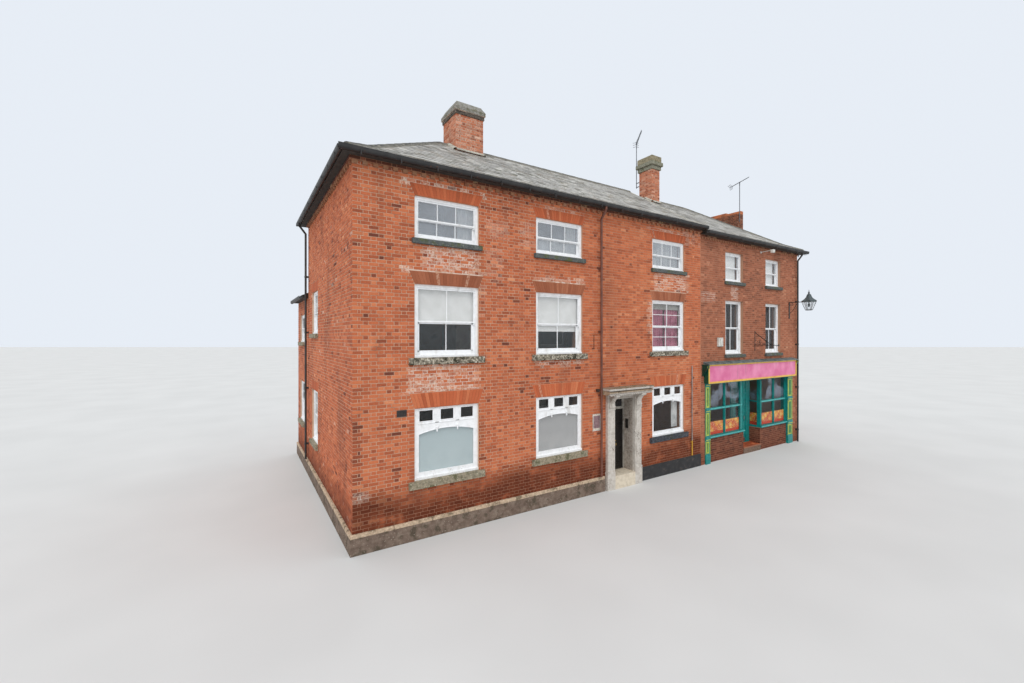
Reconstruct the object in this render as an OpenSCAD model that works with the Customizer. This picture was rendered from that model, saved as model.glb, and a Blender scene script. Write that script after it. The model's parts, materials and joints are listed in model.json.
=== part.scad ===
// Corner shop building: a three-storey brick house on a street corner, a shop beside it under
// the same slates, and a two-storey wing behind. The origin is the foot of the street corner,
// +X runs along the main street, +Y into the building and +Z up. Millimetres.

/* [Plan] */
// Distance from the street corner to the first window bay
bay_1_off = 2200; // [2000:10:2400]
// Distance from the first bay to the second
bay_2_off = 3420; // [3100:10:3700]
// Distance from the second bay to the front door
door_off = 2500; // [2250:10:2750]
// Distance from the front door to the third bay
bay_3_off = 2210; // [2100:10:2450]
// Distance from the third bay to the seam with the shop
seam_off = 1770; // [1600:10:1950]
// Depth of house and shop
depth = 6800; // [6200:50:7400]
// Thickness of the house walls
wall_t = 450; // [400:10:460]
// Thickness of the shop walls
shop_wall_t = 340; // [300:10:400]
// Width of the rear wing
wing_w = 4000; // [3700:50:4400]
// Length of the rear wing
wing_len = 2900; // [2650:50:3300]
// Thickness of the wing walls
wing_wall_t = 300; // [230:10:330]

/* [Levels] */
// Ground floor of the house
floor_0 = 400; // [350:10:430]
// Height of the first floor window sills over their floor
first_breast = 770; // [700:10:840]
// Height of the second floor window sills over their floor
second_breast = 720; // [660:10:780]
// Floor of the shop
shop_floor = 250; // [220:10:280]
// Height of the shop's first floor sills over their floor
shop_first_breast = 580; // [520:10:640]
// Height of the shop's second floor sills over their floor
shop_second_breast = 400; // [350:10:430]
// Depth of the upper floors
floor_t = 250; // [200:10:280]
// Depth of the ground floors
ground_floor_t = 150; // [120:10:180]

/* [Roof] */
// Overhang of the slates past the walls
overhang = 240; // [180:10:280]
// Height of the eaves edge
eaves_edge = 120; // [90:10:140]
// Pitch of the flatter bell-cast eaves in degrees
bell_pitch = 26; // [20:1:30]
// Pitch of the main slopes in degrees
pitch = 33; // [31:1:36]
// Width of the bell-cast eaves on plan
bell_w = 690; // [600:10:720]
// Upright thickness of the slated roof
roof_t = 150; // [145:5:200]
// Pitch of the wing roof in degrees
wing_pitch = 26; // [23:1:28]
// Overhang of the wing roof
wing_overhang = 180; // [120:10:220]
// Radius of the ridge and hip tiles
ridge_r = 110; // [90:5:130]

/* [House windows] */
// Width of the front windows
win_w = 1660; // [1500:10:1800]
// Sill of the ground floor windows
ground_sill = 1330; // [1200:10:1460]
// Height of the ground floor windows
ground_h = 1670; // [1500:10:1830]
// Height from the ground floor windows to the first floor sills
first_gap = 1170; // [1050:10:1280]
// Height of the first floor windows
first_h = 1710; // [1540:10:1880]
// Height of the meeting rail on the first floor
first_rail = 850; // [770:10:930]
// Height from the first floor windows to the second floor sills
second_gap = 1040; // [940:10:1140]
// Height of the second floor windows
second_h = 1000; // [900:10:1100]
// Height of the meeting rail on the second floor
second_rail = 480; // [430:10:530]
// Height from the second floor windows to the wall top
top_gap = 580; // [530:10:640]
// Height of the house wall over the shop wall
eaves_step = 130; // [110:10:150]
// Distance from the back of the house to the side street windows
side_bay_off = 1500; // [1350:10:1650]
// Width of the side street windows
side_win_w = 1200; // [1080:10:1320]
// Height of the lower side street window
side_ground_h = 1640; // [1480:10:1800]
// Height between the side street windows
side_gap = 1780; // [1600:10:1950]
// Height of the upper side street window
side_first_h = 1350; // [1220:10:1480]
// Height of the flat arch over a ground floor window
ground_arch = 360; // [300:10:380]
// Height of the flat arch over an upper window
upper_arch = 300; // [250:10:320]
// How far an arch spreads on each side
arch_flare = 130; // [80:10:160]
// Depth of the arch bricks into the wall
arch_depth = 110; // [100:5:120]
// Depth from the wall face to a house window
reveal = 50; // [30:5:80]

/* [Shop windows above the shopfront] */
// Distance from the seam to the first upper bay
shop_bay_off = 2150; // [1950:10:2350]
// Distance from the second upper bay to the end of the shop
shop_end_off = 2070; // [1900:10:2250]
// Width of the upper shop windows
shop_win_w = 1200; // [1080:10:1320]
// Height from the fascia to the shop's first floor sills
fascia_gap = 330; // [300:10:360]
// Height of the shop's first floor windows
shop_first_h = 2070; // [1870:10:2270]
// Height between the shop's first and second floor windows
shop_gap = 730; // [670:10:800]
// Height of the shop's second floor windows
shop_second_h = 1140; // [1030:10:1250]
// Height from the shop's second floor windows to its wall top
shop_top_gap = 450; // [410:10:490]
// Depth from the wall face to an upper shop window
shop_reveal = 100; // [60:5:130]

/* [Wing windows] */
// Distance from the house to the middle of the wing windows
wing_bay_off = 1600; // [1450:10:1700]
// Width of the wing windows
wing_win_w = 1300; // [1170:10:1400]
// Sill of the wing's lower window
wing_sill = 1500; // [1350:10:1600]
// Height of the wing's lower window
wing_ground_h = 1500; // [1350:10:1600]
// Height between the wing windows
wing_gap = 1460; // [1320:10:1600]
// Height of the wing's upper window
wing_first_h = 1020; // [920:10:1120]
// Height from the wing's upper window to its wall top
wing_top_gap = 520; // [470:10:570]

/* [Joinery] */
// Width of the box frame round a pair of sashes
box_w = 65; // [50:5:75]
// Depth of the box frame
box_d = 140; // [120:5:160]
// Width of a sash stile
stile_w = 45; // [35:5:55]
// Height of the bottom rail of a sash
bottom_rail = 75; // [60:5:90]
// Thickness of a sash
sash_t = 40; // [35:1:45]
// Thickness of the glass
glass_t = 6; // [4:1:8]
// Width of the stiles of a ground floor frame
ground_stile = 120; // [90:5:140]
// Height of the lower rail of a ground floor frame
ground_rail = 170; // [120:5:200]
// Width of the posts between the small top lights
top_post = 170; // [120:5:200]
// Height of the small top lights
top_light_h = 270; // [220:5:280]
// Height from the crown of the big light to the top lights
transom_h = 200; // [160:5:220]
// Rise of the curved head of the big light
arch_rise = 100; // [60:5:130]
// Height of a stone sill
stone_sill_h = 160; // [130:5:170]
// Height of a slate sill
slate_sill_h = 110; // [80:5:120]
// How far a sill stands out
sill_out = 80; // [60:5:110]
// How far a sill runs past its window on each side
sill_ear = 140; // [90:5:160]

/* [Front door] */
// Width of the front door leaf
leaf_w = 800; // [740:10:820]
// Height of the front door leaf
leaf_h = 1940; // [1880:10:1960]
// Thickness of a door leaf
leaf_t = 44; // [40:1:50]
// Gap round a door leaf
leaf_gap = 5; // [5:0.5:7]
// Gap under a door leaf
sill_gap = 10; // [8:1:14]
// Depth from the wall face to the front door frame
door_depth = 360; // [300:10:380]
// Width of the frame beside a door
jamb_w = 65; // [60:1:75]
// Width of the door stop
stop_w = 15; // [12:1:20]
// Height of the rail over a door
head_rail = 65; // [50:5:80]
// Height of the glass over the front door
fanlight_h = 330; // [300:10:360]
// Height of the frieze over the doorway
frieze_h = 140; // [125:5:160]
// Thickness of the door linings
lining_t = 30; // [25:1:34]
// Width of a doorcase pilaster
pilaster_w = 300; // [260:10:320]
// How far a doorcase pilaster stands out
pilaster_out = 100; // [80:5:120]
// How far the door hood stands out
hood_out = 400; // [360:10:460]
// Length of the door hood
hood_len = 1900; // [1820:10:1920]

/* [Shopfront] */
// Distance from the seam to the shopfront
shopfront_off = 250; // [220:10:300]
// Height of the shopfront under the fascia
shopfront_h = 2960; // [2800:10:3100]
// Width of the left shopfront pilaster
left_pilaster_w = 270; // [240:10:300]
// Width of the right shopfront pilaster
right_pilaster_w = 390; // [350:10:420]
// Width of the left shop window
left_window_w = 2330; // [2100:10:2550]
// Width of the lobby in front of the shop door
lobby_w = 1250; // [1150:10:1370]
// Width of the right shop window
right_window_w = 2090; // [1900:10:2300]
// Width of the brick pier at the end of the shop
end_pier_w = 520; // [470:10:570]
// Depth of the lobby from the wall face to the door frame
lobby_d = 500; // [450:10:600]
// Depth from the wall face to the shop windows
shop_window_d = 60; // [40:5:80]
// Depth of the shopfront members
shop_frame_t = 70; // [60:5:80]
// Height of the brick stallrisers
stallriser_h = 900; // [850:10:920]
// Height of the shop window sill
shop_sill_h = 80; // [60:5:90]
// Height of the shopfront transom
shop_transom_z = 1970; // [1930:10:2000]
// Width of the shopfront mullions
mullion_w = 80; // [60:5:90]
// Width of the shop door's left post
shop_jamb_w = 140; // [120:5:155]
// Width of the shop door leaf
shop_leaf_w = 840; // [760:10:900]
// Height of the shop door leaf
shop_leaf_h = 2010; // [1980:10:2040]
// Height of the fascia
fascia_h = 690; // [600:10:700]
// How far the fascia stands out
fascia_out = 190; // [150:10:230]

/* [Chimneys] */
// Height of the west chimney over the ridge
west_rise = 1260; // [1150:10:1400]
// Height of the middle chimney over the ridge
middle_rise = 1800; // [1650:10:1950]
// Height of the east chimney over the eaves
east_rise = 2530; // [2400:10:2700]
// Projection of one oversailing course
oversail = 30; // [20:5:40]

/* [Rainwater pipes] */
// Radius of a downpipe
pipe_r = 34; // [30:1:38]
// Distance from the wall face to a downpipe's axis
pipe_off = 100; // [90:1:110]
// Width of a gutter
gutter_w = 110; // [100:5:120]
// Thickness of a gutter's wall
gutter_t = 6; // [4:1:8]

/* [Fittings] */
// Distance from the seam to the lantern bracket
lantern_off = 6380; // [6200:10:6450]
// How far the lantern hangs from the wall
lantern_out = 790; // [700:10:880]
// Height of the lantern's arm
lantern_z = 6180; // [6000:10:6300]
// Distance from the seam to the sign bracket
bracket_off = 3600; // [3450:10:3700]
// How far the sign bracket reaches
bracket_out = 930; // [840:10:1020]
// Height of the sign bracket's bar
bracket_z = 4320; // [4200:10:4450]
// Height of the first aerial's mast
mast_1_h = 2010; // [1850:10:2200]
// Height of the second aerial's mast
mast_2_h = 1770; // [1600:10:1900]
// Length of an aerial's boom
boom_len = 1200; // [1100:10:1300]
// Distance from the seam to the lamp on its arm
lamp_off = 4000; // [3900:10:4100]
// How far the lamp stands below the shop's eaves
lamp_drop = 270; // [240:10:300]

/* [Hidden] */

$fn = 48;
over = 1;            // how far a cut runs past the face that it opens
mitre_gap = 2;       // between two lengths that meet at a corner
soft_gap = 0.3;      // round a soft piece
bay_1_x = bay_1_off;
bay_2_x = bay_1_x + bay_2_off;
door_x = bay_2_x + door_off;
bay_3_x = door_x + bay_3_off;
house_len = bay_3_x + seam_off;
shopfront_w = left_pilaster_w + left_window_w + lobby_w + right_window_w + right_pilaster_w;
shop_len = shopfront_off + shopfront_w + end_pier_w;
total_len = house_len + shop_len;
first_sill = ground_sill + ground_h + first_gap;
second_sill = first_sill + first_h + second_gap;
shop_first_sill = shopfront_h + fascia_h + fascia_gap;
shop_second_sill = shop_first_sill + shop_first_h + shop_gap;
shop_top = shop_second_sill + shop_second_h + shop_top_gap;
house_top = max(second_sill + second_h + top_gap, shop_top + eaves_step);
wing_first_sill = wing_sill + wing_ground_h + wing_gap;
wing_top = wing_first_sill + wing_first_h + wing_top_gap;
roof_span = depth + 2 * overhang;

// Windows as [centre, sill, width, height, meeting rail, arch height]
house_bays = [bay_1_x, bay_2_x, bay_3_x];
rear_bays = [bay_2_x, bay_3_x];
shop_bays = [house_len + shop_bay_off, total_len - shop_end_off];
ground_windows = [for (x = house_bays) [x, ground_sill, win_w, ground_h, 0, ground_arch]];
house_sashes = concat(
  [for (x = house_bays) [x, first_sill, win_w, first_h, first_rail, upper_arch]],
  [for (x = house_bays) [x, second_sill, win_w, second_h, second_rail, upper_arch - 20]]);
shop_first_rail = shop_first_h / 2;
shop_second_rail = shop_second_h / 2;
shop_sashes = concat(
  [for (x = shop_bays) [x, shop_first_sill, shop_win_w, shop_first_h, shop_first_rail, 0]],
  [for (x = shop_bays) [x, shop_second_sill, shop_win_w, shop_second_h, shop_second_rail, 0]]);
side_bay_y = depth - side_bay_off;
side_first_sill = ground_sill + side_ground_h + side_gap;
side_sashes = [
  [side_bay_y, ground_sill, side_win_w, side_ground_h, side_ground_h / 2, upper_arch],
  [side_bay_y, side_first_sill, side_win_w, side_first_h, side_first_h / 2, upper_arch]];
rear_house_sashes = concat(
  [for (x = rear_bays) [x, ground_sill, win_w, ground_h, ground_h / 2, 0]],
  [for (x = rear_bays) [x, first_sill, win_w, first_h, first_rail, 0]],
  [for (x = rear_bays) [x, second_sill, win_w, second_h, second_rail, 0]]);
rear_shop_sashes = concat(
  [for (x = shop_bays) [x, ground_sill, shop_win_w, ground_h, ground_h / 2, 0]],
  shop_sashes);
wing_bay_y = depth + wing_bay_off;
wing_sashes = [
  [wing_bay_y, wing_sill, wing_win_w, wing_ground_h, wing_ground_h / 2, 0],
  [wing_bay_y, wing_first_sill, wing_win_w, wing_first_h, wing_first_h / 2, 0]];

// Front door: the leaf opens into the house on pins at its left
door_hole_w = leaf_w + 2 * leaf_gap + 2 * jamb_w;
door_hole_l = door_x - door_hole_w / 2;
door_hole_r = door_x + door_hole_w / 2;
leaf_l = door_x - leaf_w / 2;
leaf_y = door_depth + stop_w + leaf_gap;
leaf_z = floor_0 + sill_gap;
door_frame_d = stop_w + leaf_gap + leaf_t;
door_rail_z = leaf_z + leaf_h + leaf_gap;
fanlight_z = door_rail_z + head_rail;
door_hole_top = fanlight_z + fanlight_h + lining_t;
hinge_off = 10;       // from the inner face of a leaf to its pins
pin_r = 4;
knuckle_r = 9;
pin_clearance = 0.3;
knuckle_h = 34;
hinge_plate_w = 30;
hinge_plate_t = 4;

// Shopfront, from left to right
front_l = house_len + shopfront_off;
front_r = front_l + shopfront_w;
window_l = front_l + left_pilaster_w;
lobby_l = window_l + left_window_w;
lobby_r = lobby_l + lobby_w;
window_r = lobby_r + right_window_w;
shopfront_back = 260;
corner_post_l = 200;
corner_post_r = 100;
shop_leaf_l = lobby_l + shop_jamb_w + leaf_gap;
shop_leaf_y = lobby_d + stop_w + leaf_gap;
shop_leaf_z = shop_floor + sill_gap;
lobby_back = lobby_d + door_frame_d;
shop_rail_z = shop_leaf_z + shop_leaf_h + leaf_gap;
shop_light_z = stallriser_h + shop_sill_h;
return_brick_t = 110;
transom_t = 45;

// Chimneys as [left, front, width, depth], set out from the ridge and from house and shop
ridge_y = depth / 2;
west_stack = [bay_1_x + 1555, ridge_y - 500, 975, 970];
middle_stack = [house_len + 1040, ridge_y - 350, 500, 690];
east_stack = [total_len - 450, ridge_y - 940, 440, 1880];

function rise(d) = d < bell_w ? d * tan(bell_pitch)
  : bell_w * tan(bell_pitch) + (d - bell_w) * tan(pitch);
function roof_line(span) = [[0, 0], [0, eaves_edge], [bell_w, eaves_edge + rise(bell_w)],
  [span / 2, eaves_edge + rise(span / 2)], [span - bell_w, eaves_edge + rise(bell_w)],
  [span, eaves_edge], [span, 0]];
house_ridge_z = house_top + eaves_edge + rise(roof_span / 2);
shop_ridge_z = shop_top + eaves_edge + rise(roof_span / 2);
west_top = house_ridge_z + west_rise;
middle_top = shop_ridge_z + middle_rise;
east_top = shop_top + east_rise;
wing_span = wing_w + 2 * wing_overhang;
wing_edge = 90;
wing_ridge = wing_edge + wing_span / 2 * tan(wing_pitch);

module brick() color([0.66, 0.31, 0.2]) children();
module dark_brick() color([0.52, 0.27, 0.19]) children();
module white_paint() color([0.9, 0.89, 0.85]) children();
module teal_paint() color([0.05, 0.42, 0.4]) children();
module slate() color([0.42, 0.42, 0.42]) children();
module black_iron() color([0.1, 0.1, 0.11]) children();
module pale_stone() color([0.62, 0.6, 0.52]) children();

// The four sides of the building, each seen from outside with the wall face at y = 0
module on_side() mirror([1, -1, 0]) children();
module on_rear() translate([0, depth, 0]) mirror([0, 1, 0]) children();
module on_east() translate([total_len, 0, 0]) mirror([1, 0, 0]) on_side() children();

module arch_wedge(w, deep) {
  half = w[2] / 2;
  translate([w[0], deep, w[1] + w[3]]) rotate([90, 0, 0]) linear_extrude(deep)
    polygon([[-half, 0], [half, 0], [half + arch_flare, w[5]], [-half - arch_flare, w[5]]]);
}

// A wall from x0 to x1 and z0 to z1 with its windows cut through and its arches let in
module wall(x0, x1, z0, z1, t, windows) {
  difference() {
    translate([x0, 0, z0]) cube([x1 - x0, t, z1 - z0]);
    for (w = windows) if (w[0] > x0 && w[0] < x1) {
      translate([w[0] - w[2] / 2, -over, w[1]]) cube([w[2], t + 2 * over, w[3]]);
      if (w[5] > 0) translate([0, -over, 0]) arch_wedge(w, arch_depth + over);
    }
  }
}

module front_wall_left()
  brick() wall(0, door_hole_l, 0, house_top, wall_t, concat(ground_windows, house_sashes));

module front_wall_right()
  brick() wall(door_hole_r, house_len, 0, house_top, wall_t, concat(ground_windows, house_sashes));

module front_wall_over_door()
  brick() wall(door_hole_l, door_hole_r, door_hole_top, house_top, wall_t, []);

module side_wall()
  brick() on_side() wall(wall_t, depth - wall_t, 0, house_top, wall_t, side_sashes);

module rear_wall()
  brick() on_rear() wall(0, house_len, 0, house_top, wall_t, rear_house_sashes);

// Between house and shop, up to the underside of the slates
module party_wall() brick() {
  translate([house_len - wall_t, wall_t, 0]) cube([wall_t, depth - 2 * wall_t, house_top]);
  intersection() {
    roof_void(0, house_len + over, house_top, wall_t);
    translate([house_len - wall_t, 0, house_top]) cube([wall_t, depth, house_top]);
  }
}

module shop_front_wall()
  dark_brick() wall(house_len, total_len, shopfront_h, shop_top, shop_wall_t, shop_sashes);

module shop_front_piers() dark_brick() {
  translate([house_len, 0, 0]) cube([shopfront_off, shop_wall_t, shopfront_h]);
  translate([front_r, 0, 0]) cube([total_len - front_r, shop_wall_t, shopfront_h]);
}

module shop_end_wall()
  dark_brick() on_east() wall(shop_wall_t, depth - shop_wall_t, 0, shop_top, shop_wall_t, []);

module shop_rear_wall()
  dark_brick() on_rear() wall(house_len, total_len, 0, shop_top, shop_wall_t, rear_shop_sashes);

module wing_side_walls() brick() {
  wing_inner = depth + wing_len - wing_wall_t;
  on_side() wall(depth, wing_inner, 0, wing_top, wing_wall_t, wing_sashes);
  translate([wing_w - wing_wall_t, depth, 0]) cube([wing_wall_t, wing_len - wing_wall_t, wing_top]);
}

// The plain party wall that ends the wing, up to the underside of its slates
module wing_party_wall() brick() {
  translate([0, depth + wing_len - wing_wall_t, 0]) cube([wing_w, wing_wall_t, wing_top]);
  intersection() {
    wing_void(wing_len + over);
    translate([0, depth + wing_len - wing_wall_t, wing_top]) cube([wing_w, wing_wall_t, wing_top]);
  }
}

module flat_arches() color([0.72, 0.36, 0.2]) {
  for (w = concat(ground_windows, house_sashes)) arch_wedge(w, arch_depth);
  on_side() for (w = side_sashes) arch_wedge(w, arch_depth);
}

// Corbelled courses under the eaves, with bricks set out as dentils
module cornice_run(x0, x1, top, out, pitch_x, dentils) {
  band_h = 70;
  drop = 70;
  translate([x0, -out, top - band_h]) cube([x1 - x0, out, band_h]);
  if (dentils) for (i = [0:floor((x1 - x0) / pitch_x) - 1])
    translate([x0 + (i + 0.25) * pitch_x, -out * 0.75, top - band_h - drop])
      cube([pitch_x / 2, out * 0.75, drop]);
}

module eaves_cornice() brick() {
  house_out = 75;
  shop_out = 45;
  cornice_run(-house_out, house_len, house_top, house_out, 220, true);
  on_side() cornice_run(mitre_gap, depth, house_top, house_out, 220, true);
  on_rear() cornice_run(0, house_len, house_top, house_out, 220, false);
  cornice_run(house_len + mitre_gap, total_len, shop_top, shop_out, 160, true);
  on_rear() cornice_run(house_len + mitre_gap, total_len, shop_top, shop_out, 160, false);
  on_east() cornice_run(mitre_gap, depth - mitre_gap, shop_top, shop_out, 160, true);
}

// Kerb-like plinth course along both streets, broken by the doorcase
plinth_top = 440;
plinth_out = 60;
doorcase_l = door_x - (leaf_w + 2 * leaf_gap + 2 * (jamb_w - lining_t)) / 2 - pilaster_w;
doorcase_r = 2 * door_x - doorcase_l;
module plinth_kerb() pale_stone() {
  translate([-plinth_out, -plinth_out, 0]) cube([doorcase_l - 80 + plinth_out, plinth_out, plinth_top]);
  translate([-plinth_out, mitre_gap, 0]) cube([plinth_out, depth + wing_len - mitre_gap, plinth_top]);
}

module black_plinth() black_iron()
  translate([doorcase_r + 80, -20, 0]) cube([house_len - doorcase_r - 80, 20, plinth_top - 10]);

module sill(w, h, ear)
  translate([w[0] - w[2] / 2 - ear, -sill_out, w[1] - h]) cube([w[2] + 2 * ear, sill_out, h]);

module stone_sills() pale_stone() {
  for (w = ground_windows) sill(w, stone_sill_h, sill_ear);
  for (w = house_sashes) if (w[1] == first_sill) sill(w, stone_sill_h - 10, sill_ear);
  on_side() for (w = side_sashes) sill(w, stone_sill_h - 40, sill_ear / 2);
  on_side() for (w = wing_sashes) sill(w, stone_sill_h - 40, sill_ear / 2);
  on_rear() for (w = rear_house_sashes) sill(w, stone_sill_h - 40, sill_ear / 2);
}

module slate_sills() slate() {
  for (w = house_sashes) if (w[1] == second_sill) sill(w, slate_sill_h, sill_ear / 2);
  for (w = shop_sashes) sill(w, slate_sill_h, sill_ear / 2);
  on_rear() for (w = rear_shop_sashes) sill(w, slate_sill_h, sill_ear / 2);
}

// Ground floor window: a big light with a curved head under three small top lights
ground_light_w = win_w - 2 * ground_stile;
ground_top_z = ground_h - 50 - top_light_h;
ground_crown = ground_top_z - transom_h;
top_light_w = (ground_light_w - 2 * top_post) / 3;
arch_r = (pow(ground_light_w / 2, 2) + pow(arch_rise, 2)) / (2 * arch_rise);
rebate = 15;
frame_front_t = 40;
frame_back_t = 30;

module top_lights(grow, y, t) for (i = [-1, 0, 1])
  translate([i * (top_light_w + top_post) - top_light_w / 2 - grow, y, ground_top_z - grow])
    cube([top_light_w + 2 * grow, t, top_light_h + 2 * grow]);

module big_light(grow, y, t)
  translate([-ground_light_w / 2 - grow, y, ground_rail - grow])
    cube([ground_light_w + 2 * grow, t, ground_crown - ground_rail + 2 * grow]);

module ground_window_frame() {
  difference() {
    translate([-win_w / 2, reveal, 0]) cube([win_w, frame_front_t + frame_back_t, ground_h]);
    top_lights(0, reveal - over, frame_front_t + 2 * over);
    intersection() {
      big_light(0, reveal - over, frame_front_t + 2 * over);
      translate([0, reveal + frame_front_t + over, ground_crown - arch_r]) rotate([90, 0, 0])
        cylinder(r = arch_r, h = frame_front_t + 2 * over);
    }
    top_lights(rebate, reveal + frame_front_t, frame_back_t + over);
    big_light(rebate, reveal + frame_front_t, frame_back_t + over);
  }
}

module ground_window_frames() white_paint()
  for (w = ground_windows) translate([w[0], 0, w[1]]) ground_window_frame();

// Sash window: a box frame, the upper sash outside and the lower sash behind it
upper_sash_y = 20;
lower_sash_y = upper_sash_y + sash_t;
meeting_h = 36;

module sash(w, z0, z1, y, low_rail, high_rail) difference() {
  translate([-w / 2, y, z0]) cube([w, sash_t, z1 - z0]);
  translate([-w / 2 + stile_w, y - over, z0 + low_rail])
    cube([w - 2 * stile_w, sash_t + 2 * over, z1 - z0 - low_rail - high_rail]);
}

module sash_window(w, back) translate([w[0], back, w[1]]) {
  inner_w = w[2] - 2 * box_w;
  difference() {
    translate([-w[2] / 2, 0, 0]) cube([w[2], box_d, w[3]]);
    translate([-inner_w / 2, -over, box_w]) cube([inner_w, box_d + 2 * over, w[3] - 2 * box_w]);
  }
  sash(inner_w, w[4] - meeting_h / 2, w[3] - box_w, upper_sash_y, meeting_h, stile_w);
  sash(inner_w, box_w, w[4] + meeting_h / 2, lower_sash_y, bottom_rail, meeting_h);
}

module sash_panes(w, back) translate([w[0], back, w[1]]) {
  pane_w = w[2] - 2 * box_w - 2 * stile_w;
  half_meeting = meeting_h / 2;
  translate([-pane_w / 2, upper_sash_y + sash_t / 2, w[4] + half_meeting])
    cube([pane_w, glass_t, w[3] - box_w - stile_w - w[4] - half_meeting]);
  translate([-pane_w / 2, lower_sash_y + sash_t / 2, box_w + bottom_rail])
    cube([pane_w, glass_t, w[4] - half_meeting - box_w - bottom_rail]);
}

module front_sashes() white_paint() {
  for (w = house_sashes) sash_window(w, reveal);
  for (w = shop_sashes) sash_window(w, shop_reveal);
}

module side_and_rear_sashes() white_paint() {
  on_side() for (w = concat(side_sashes, wing_sashes)) sash_window(w, reveal);
  on_rear() for (w = rear_house_sashes) sash_window(w, reveal);
  on_rear() for (w = rear_shop_sashes) sash_window(w, shop_reveal);
}

module window_glass() color([0.5, 0.6, 0.65, 0.5]) {
  for (w = ground_windows) translate([w[0], 0, w[1]]) {
    top_lights(rebate, reveal + frame_front_t, glass_t);
    big_light(rebate, reveal + frame_front_t, glass_t);
  }
  for (w = house_sashes) sash_panes(w, reveal);
  for (w = shop_sashes) sash_panes(w, shop_reveal);
  on_side() for (w = concat(side_sashes, wing_sashes)) sash_panes(w, reveal);
  on_rear() for (w = rear_house_sashes) sash_panes(w, reveal);
  on_rear() for (w = rear_shop_sashes) sash_panes(w, shop_reveal);
}

// Roller blinds between the box frames, each let down by a share of the window's height
blind_y = 115;
blind_t = 4;
module blind(w, back, share) {
  inner_w = w[2] - 2 * box_w;
  full = w[3] - 2 * box_w;
  translate([w[0] - inner_w / 2, back + blind_y, w[1] + box_w + full * (1 - share)])
    cube([inner_w, blind_t, full * share]);
}

module blinds() color([0.88, 0.87, 0.84]) {
  blind(house_sashes[0], reveal, 0.5);
  blind(house_sashes[1], reveal, 0.65);
  on_side() for (w = side_sashes) blind(w, reveal, 1);
}

// Curtains behind the third first floor window and the second floor windows
curtain_t = 50;
module curtains() color([0.8, 0.6, 0.65])
  for (w = [for (i = [2:5]) house_sashes[i]])
    translate([w[0] - w[2] / 2 + soft_gap, reveal + box_d + soft_gap, w[1] + soft_gap])
      cube([w[2] - 2 * soft_gap, curtain_t, w[3] - 2 * soft_gap]);

// Doorcase: pilasters on plinth blocks, scrolled consoles under the hood, frieze between
hood_z = door_hole_top + frieze_h;
block_h = 560;
block_out = 20;
console_h = 430;
console_top_r = 80;
console_foot_r = 42;
console_gap = 40;

module console(x, w) {
  translate([x, 0, hood_z - console_h]) rotate([90, 0, 90]) linear_extrude(w) union() {
    translate([-pilaster_out - console_top_r + 20, console_h - console_top_r]) circle(console_top_r);
    translate([-pilaster_out - console_foot_r + 20, console_foot_r]) circle(console_foot_r);
    translate([-pilaster_out - console_foot_r, console_foot_r])
      square([console_foot_r + 1, console_h - console_foot_r - console_top_r]);
    translate([-pilaster_out - console_top_r + 20, console_h - console_top_r])
      square([console_top_r - 20, console_top_r]);
  }
}

module doorcase() white_paint() {
  for (x = [doorcase_l, doorcase_r - pilaster_w]) {
    translate([x, -pilaster_out, 0]) cube([pilaster_w, pilaster_out, hood_z]);
    translate([x == doorcase_l ? x - block_out : x, -pilaster_out - block_out, 0])
      cube([pilaster_w + block_out, pilaster_out + block_out, block_h]);
    console(x + console_gap, pilaster_w - 2 * console_gap);
  }
  translate([doorcase_l + pilaster_w, -60, door_hole_top - lining_t])
    cube([doorcase_r - doorcase_l - 2 * pilaster_w, 60, hood_z - door_hole_top + lining_t]);
}

module door_hood() pale_stone()
  translate([door_x - hood_len / 2, 0, hood_z]) rotate([90, 0, 90]) linear_extrude(hood_len)
    polygon([[0, 0], [-hood_out + 90, 0], [-hood_out + 70, 30], [-hood_out + 20, 45],
      [-hood_out, 60], [-hood_out, 95], [0, 180]]);

module door_step() pale_stone() {
  translate([door_hole_l, 0, 0]) cube([door_hole_w, wall_t, floor_0]);
  translate([doorcase_l + pilaster_w, -pilaster_out - block_out, 0])
    cube([doorcase_r - doorcase_l - 2 * pilaster_w, pilaster_out + block_out + over, floor_0]);
}

// Panelled linings between the wall face and the door frame
module door_linings() white_paint() {
  panel_h = 620;
  panel_in = 8;
  for (side = [0, 1])
    translate([door_x, 0, 0]) mirror([side, 0, 0]) translate([-door_hole_w / 2, 0, floor_0])
      difference() {
        cube([lining_t, door_depth, door_hole_top - floor_0]);
        for (i = [0:2]) translate([lining_t - panel_in, 60, 90 + i * (panel_h + 80)])
          cube([lining_t, door_depth - 120, panel_h]);
      }
  translate([door_hole_l + lining_t, 0, door_hole_top - lining_t])
    cube([door_hole_w - 2 * lining_t, door_depth, lining_t]);
}

// Fixed half of a pair of hinges: a pin between two knuckles and the plate on the frame
module hinge_pins(x, y, z) for (dz = [0.14, 0.86]) translate([x, y, z + dz * leaf_h]) {
  cylinder(r = pin_r, h = 3 * knuckle_h);
  for (k = [0, 2]) translate([0, 0, k * knuckle_h]) cylinder(r = knuckle_r, h = knuckle_h);
  for (k = [0, 2]) translate([-hinge_plate_w, -hinge_off, k * knuckle_h])
    cube([hinge_plate_w, hinge_plate_t, knuckle_h]);
}

// Moving half: a barrel round the pin and the plate on the leaf
module hinge_barrels(x, y, z) for (dz = [0.14, 0.86]) translate([x, y, z + dz * leaf_h]) {
  difference() {
    union() {
      translate([0, 0, knuckle_h + pin_clearance])
        cylinder(r = knuckle_r, h = knuckle_h - 2 * pin_clearance);
      translate([0, -hinge_off, knuckle_h + pin_clearance])
        cube([hinge_plate_w, hinge_plate_t, knuckle_h - 2 * pin_clearance]);
    }
    translate([0, 0, knuckle_h - over]) cylinder(r = pin_r + pin_clearance, h = knuckle_h + 2 * over);
  }
}

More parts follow.
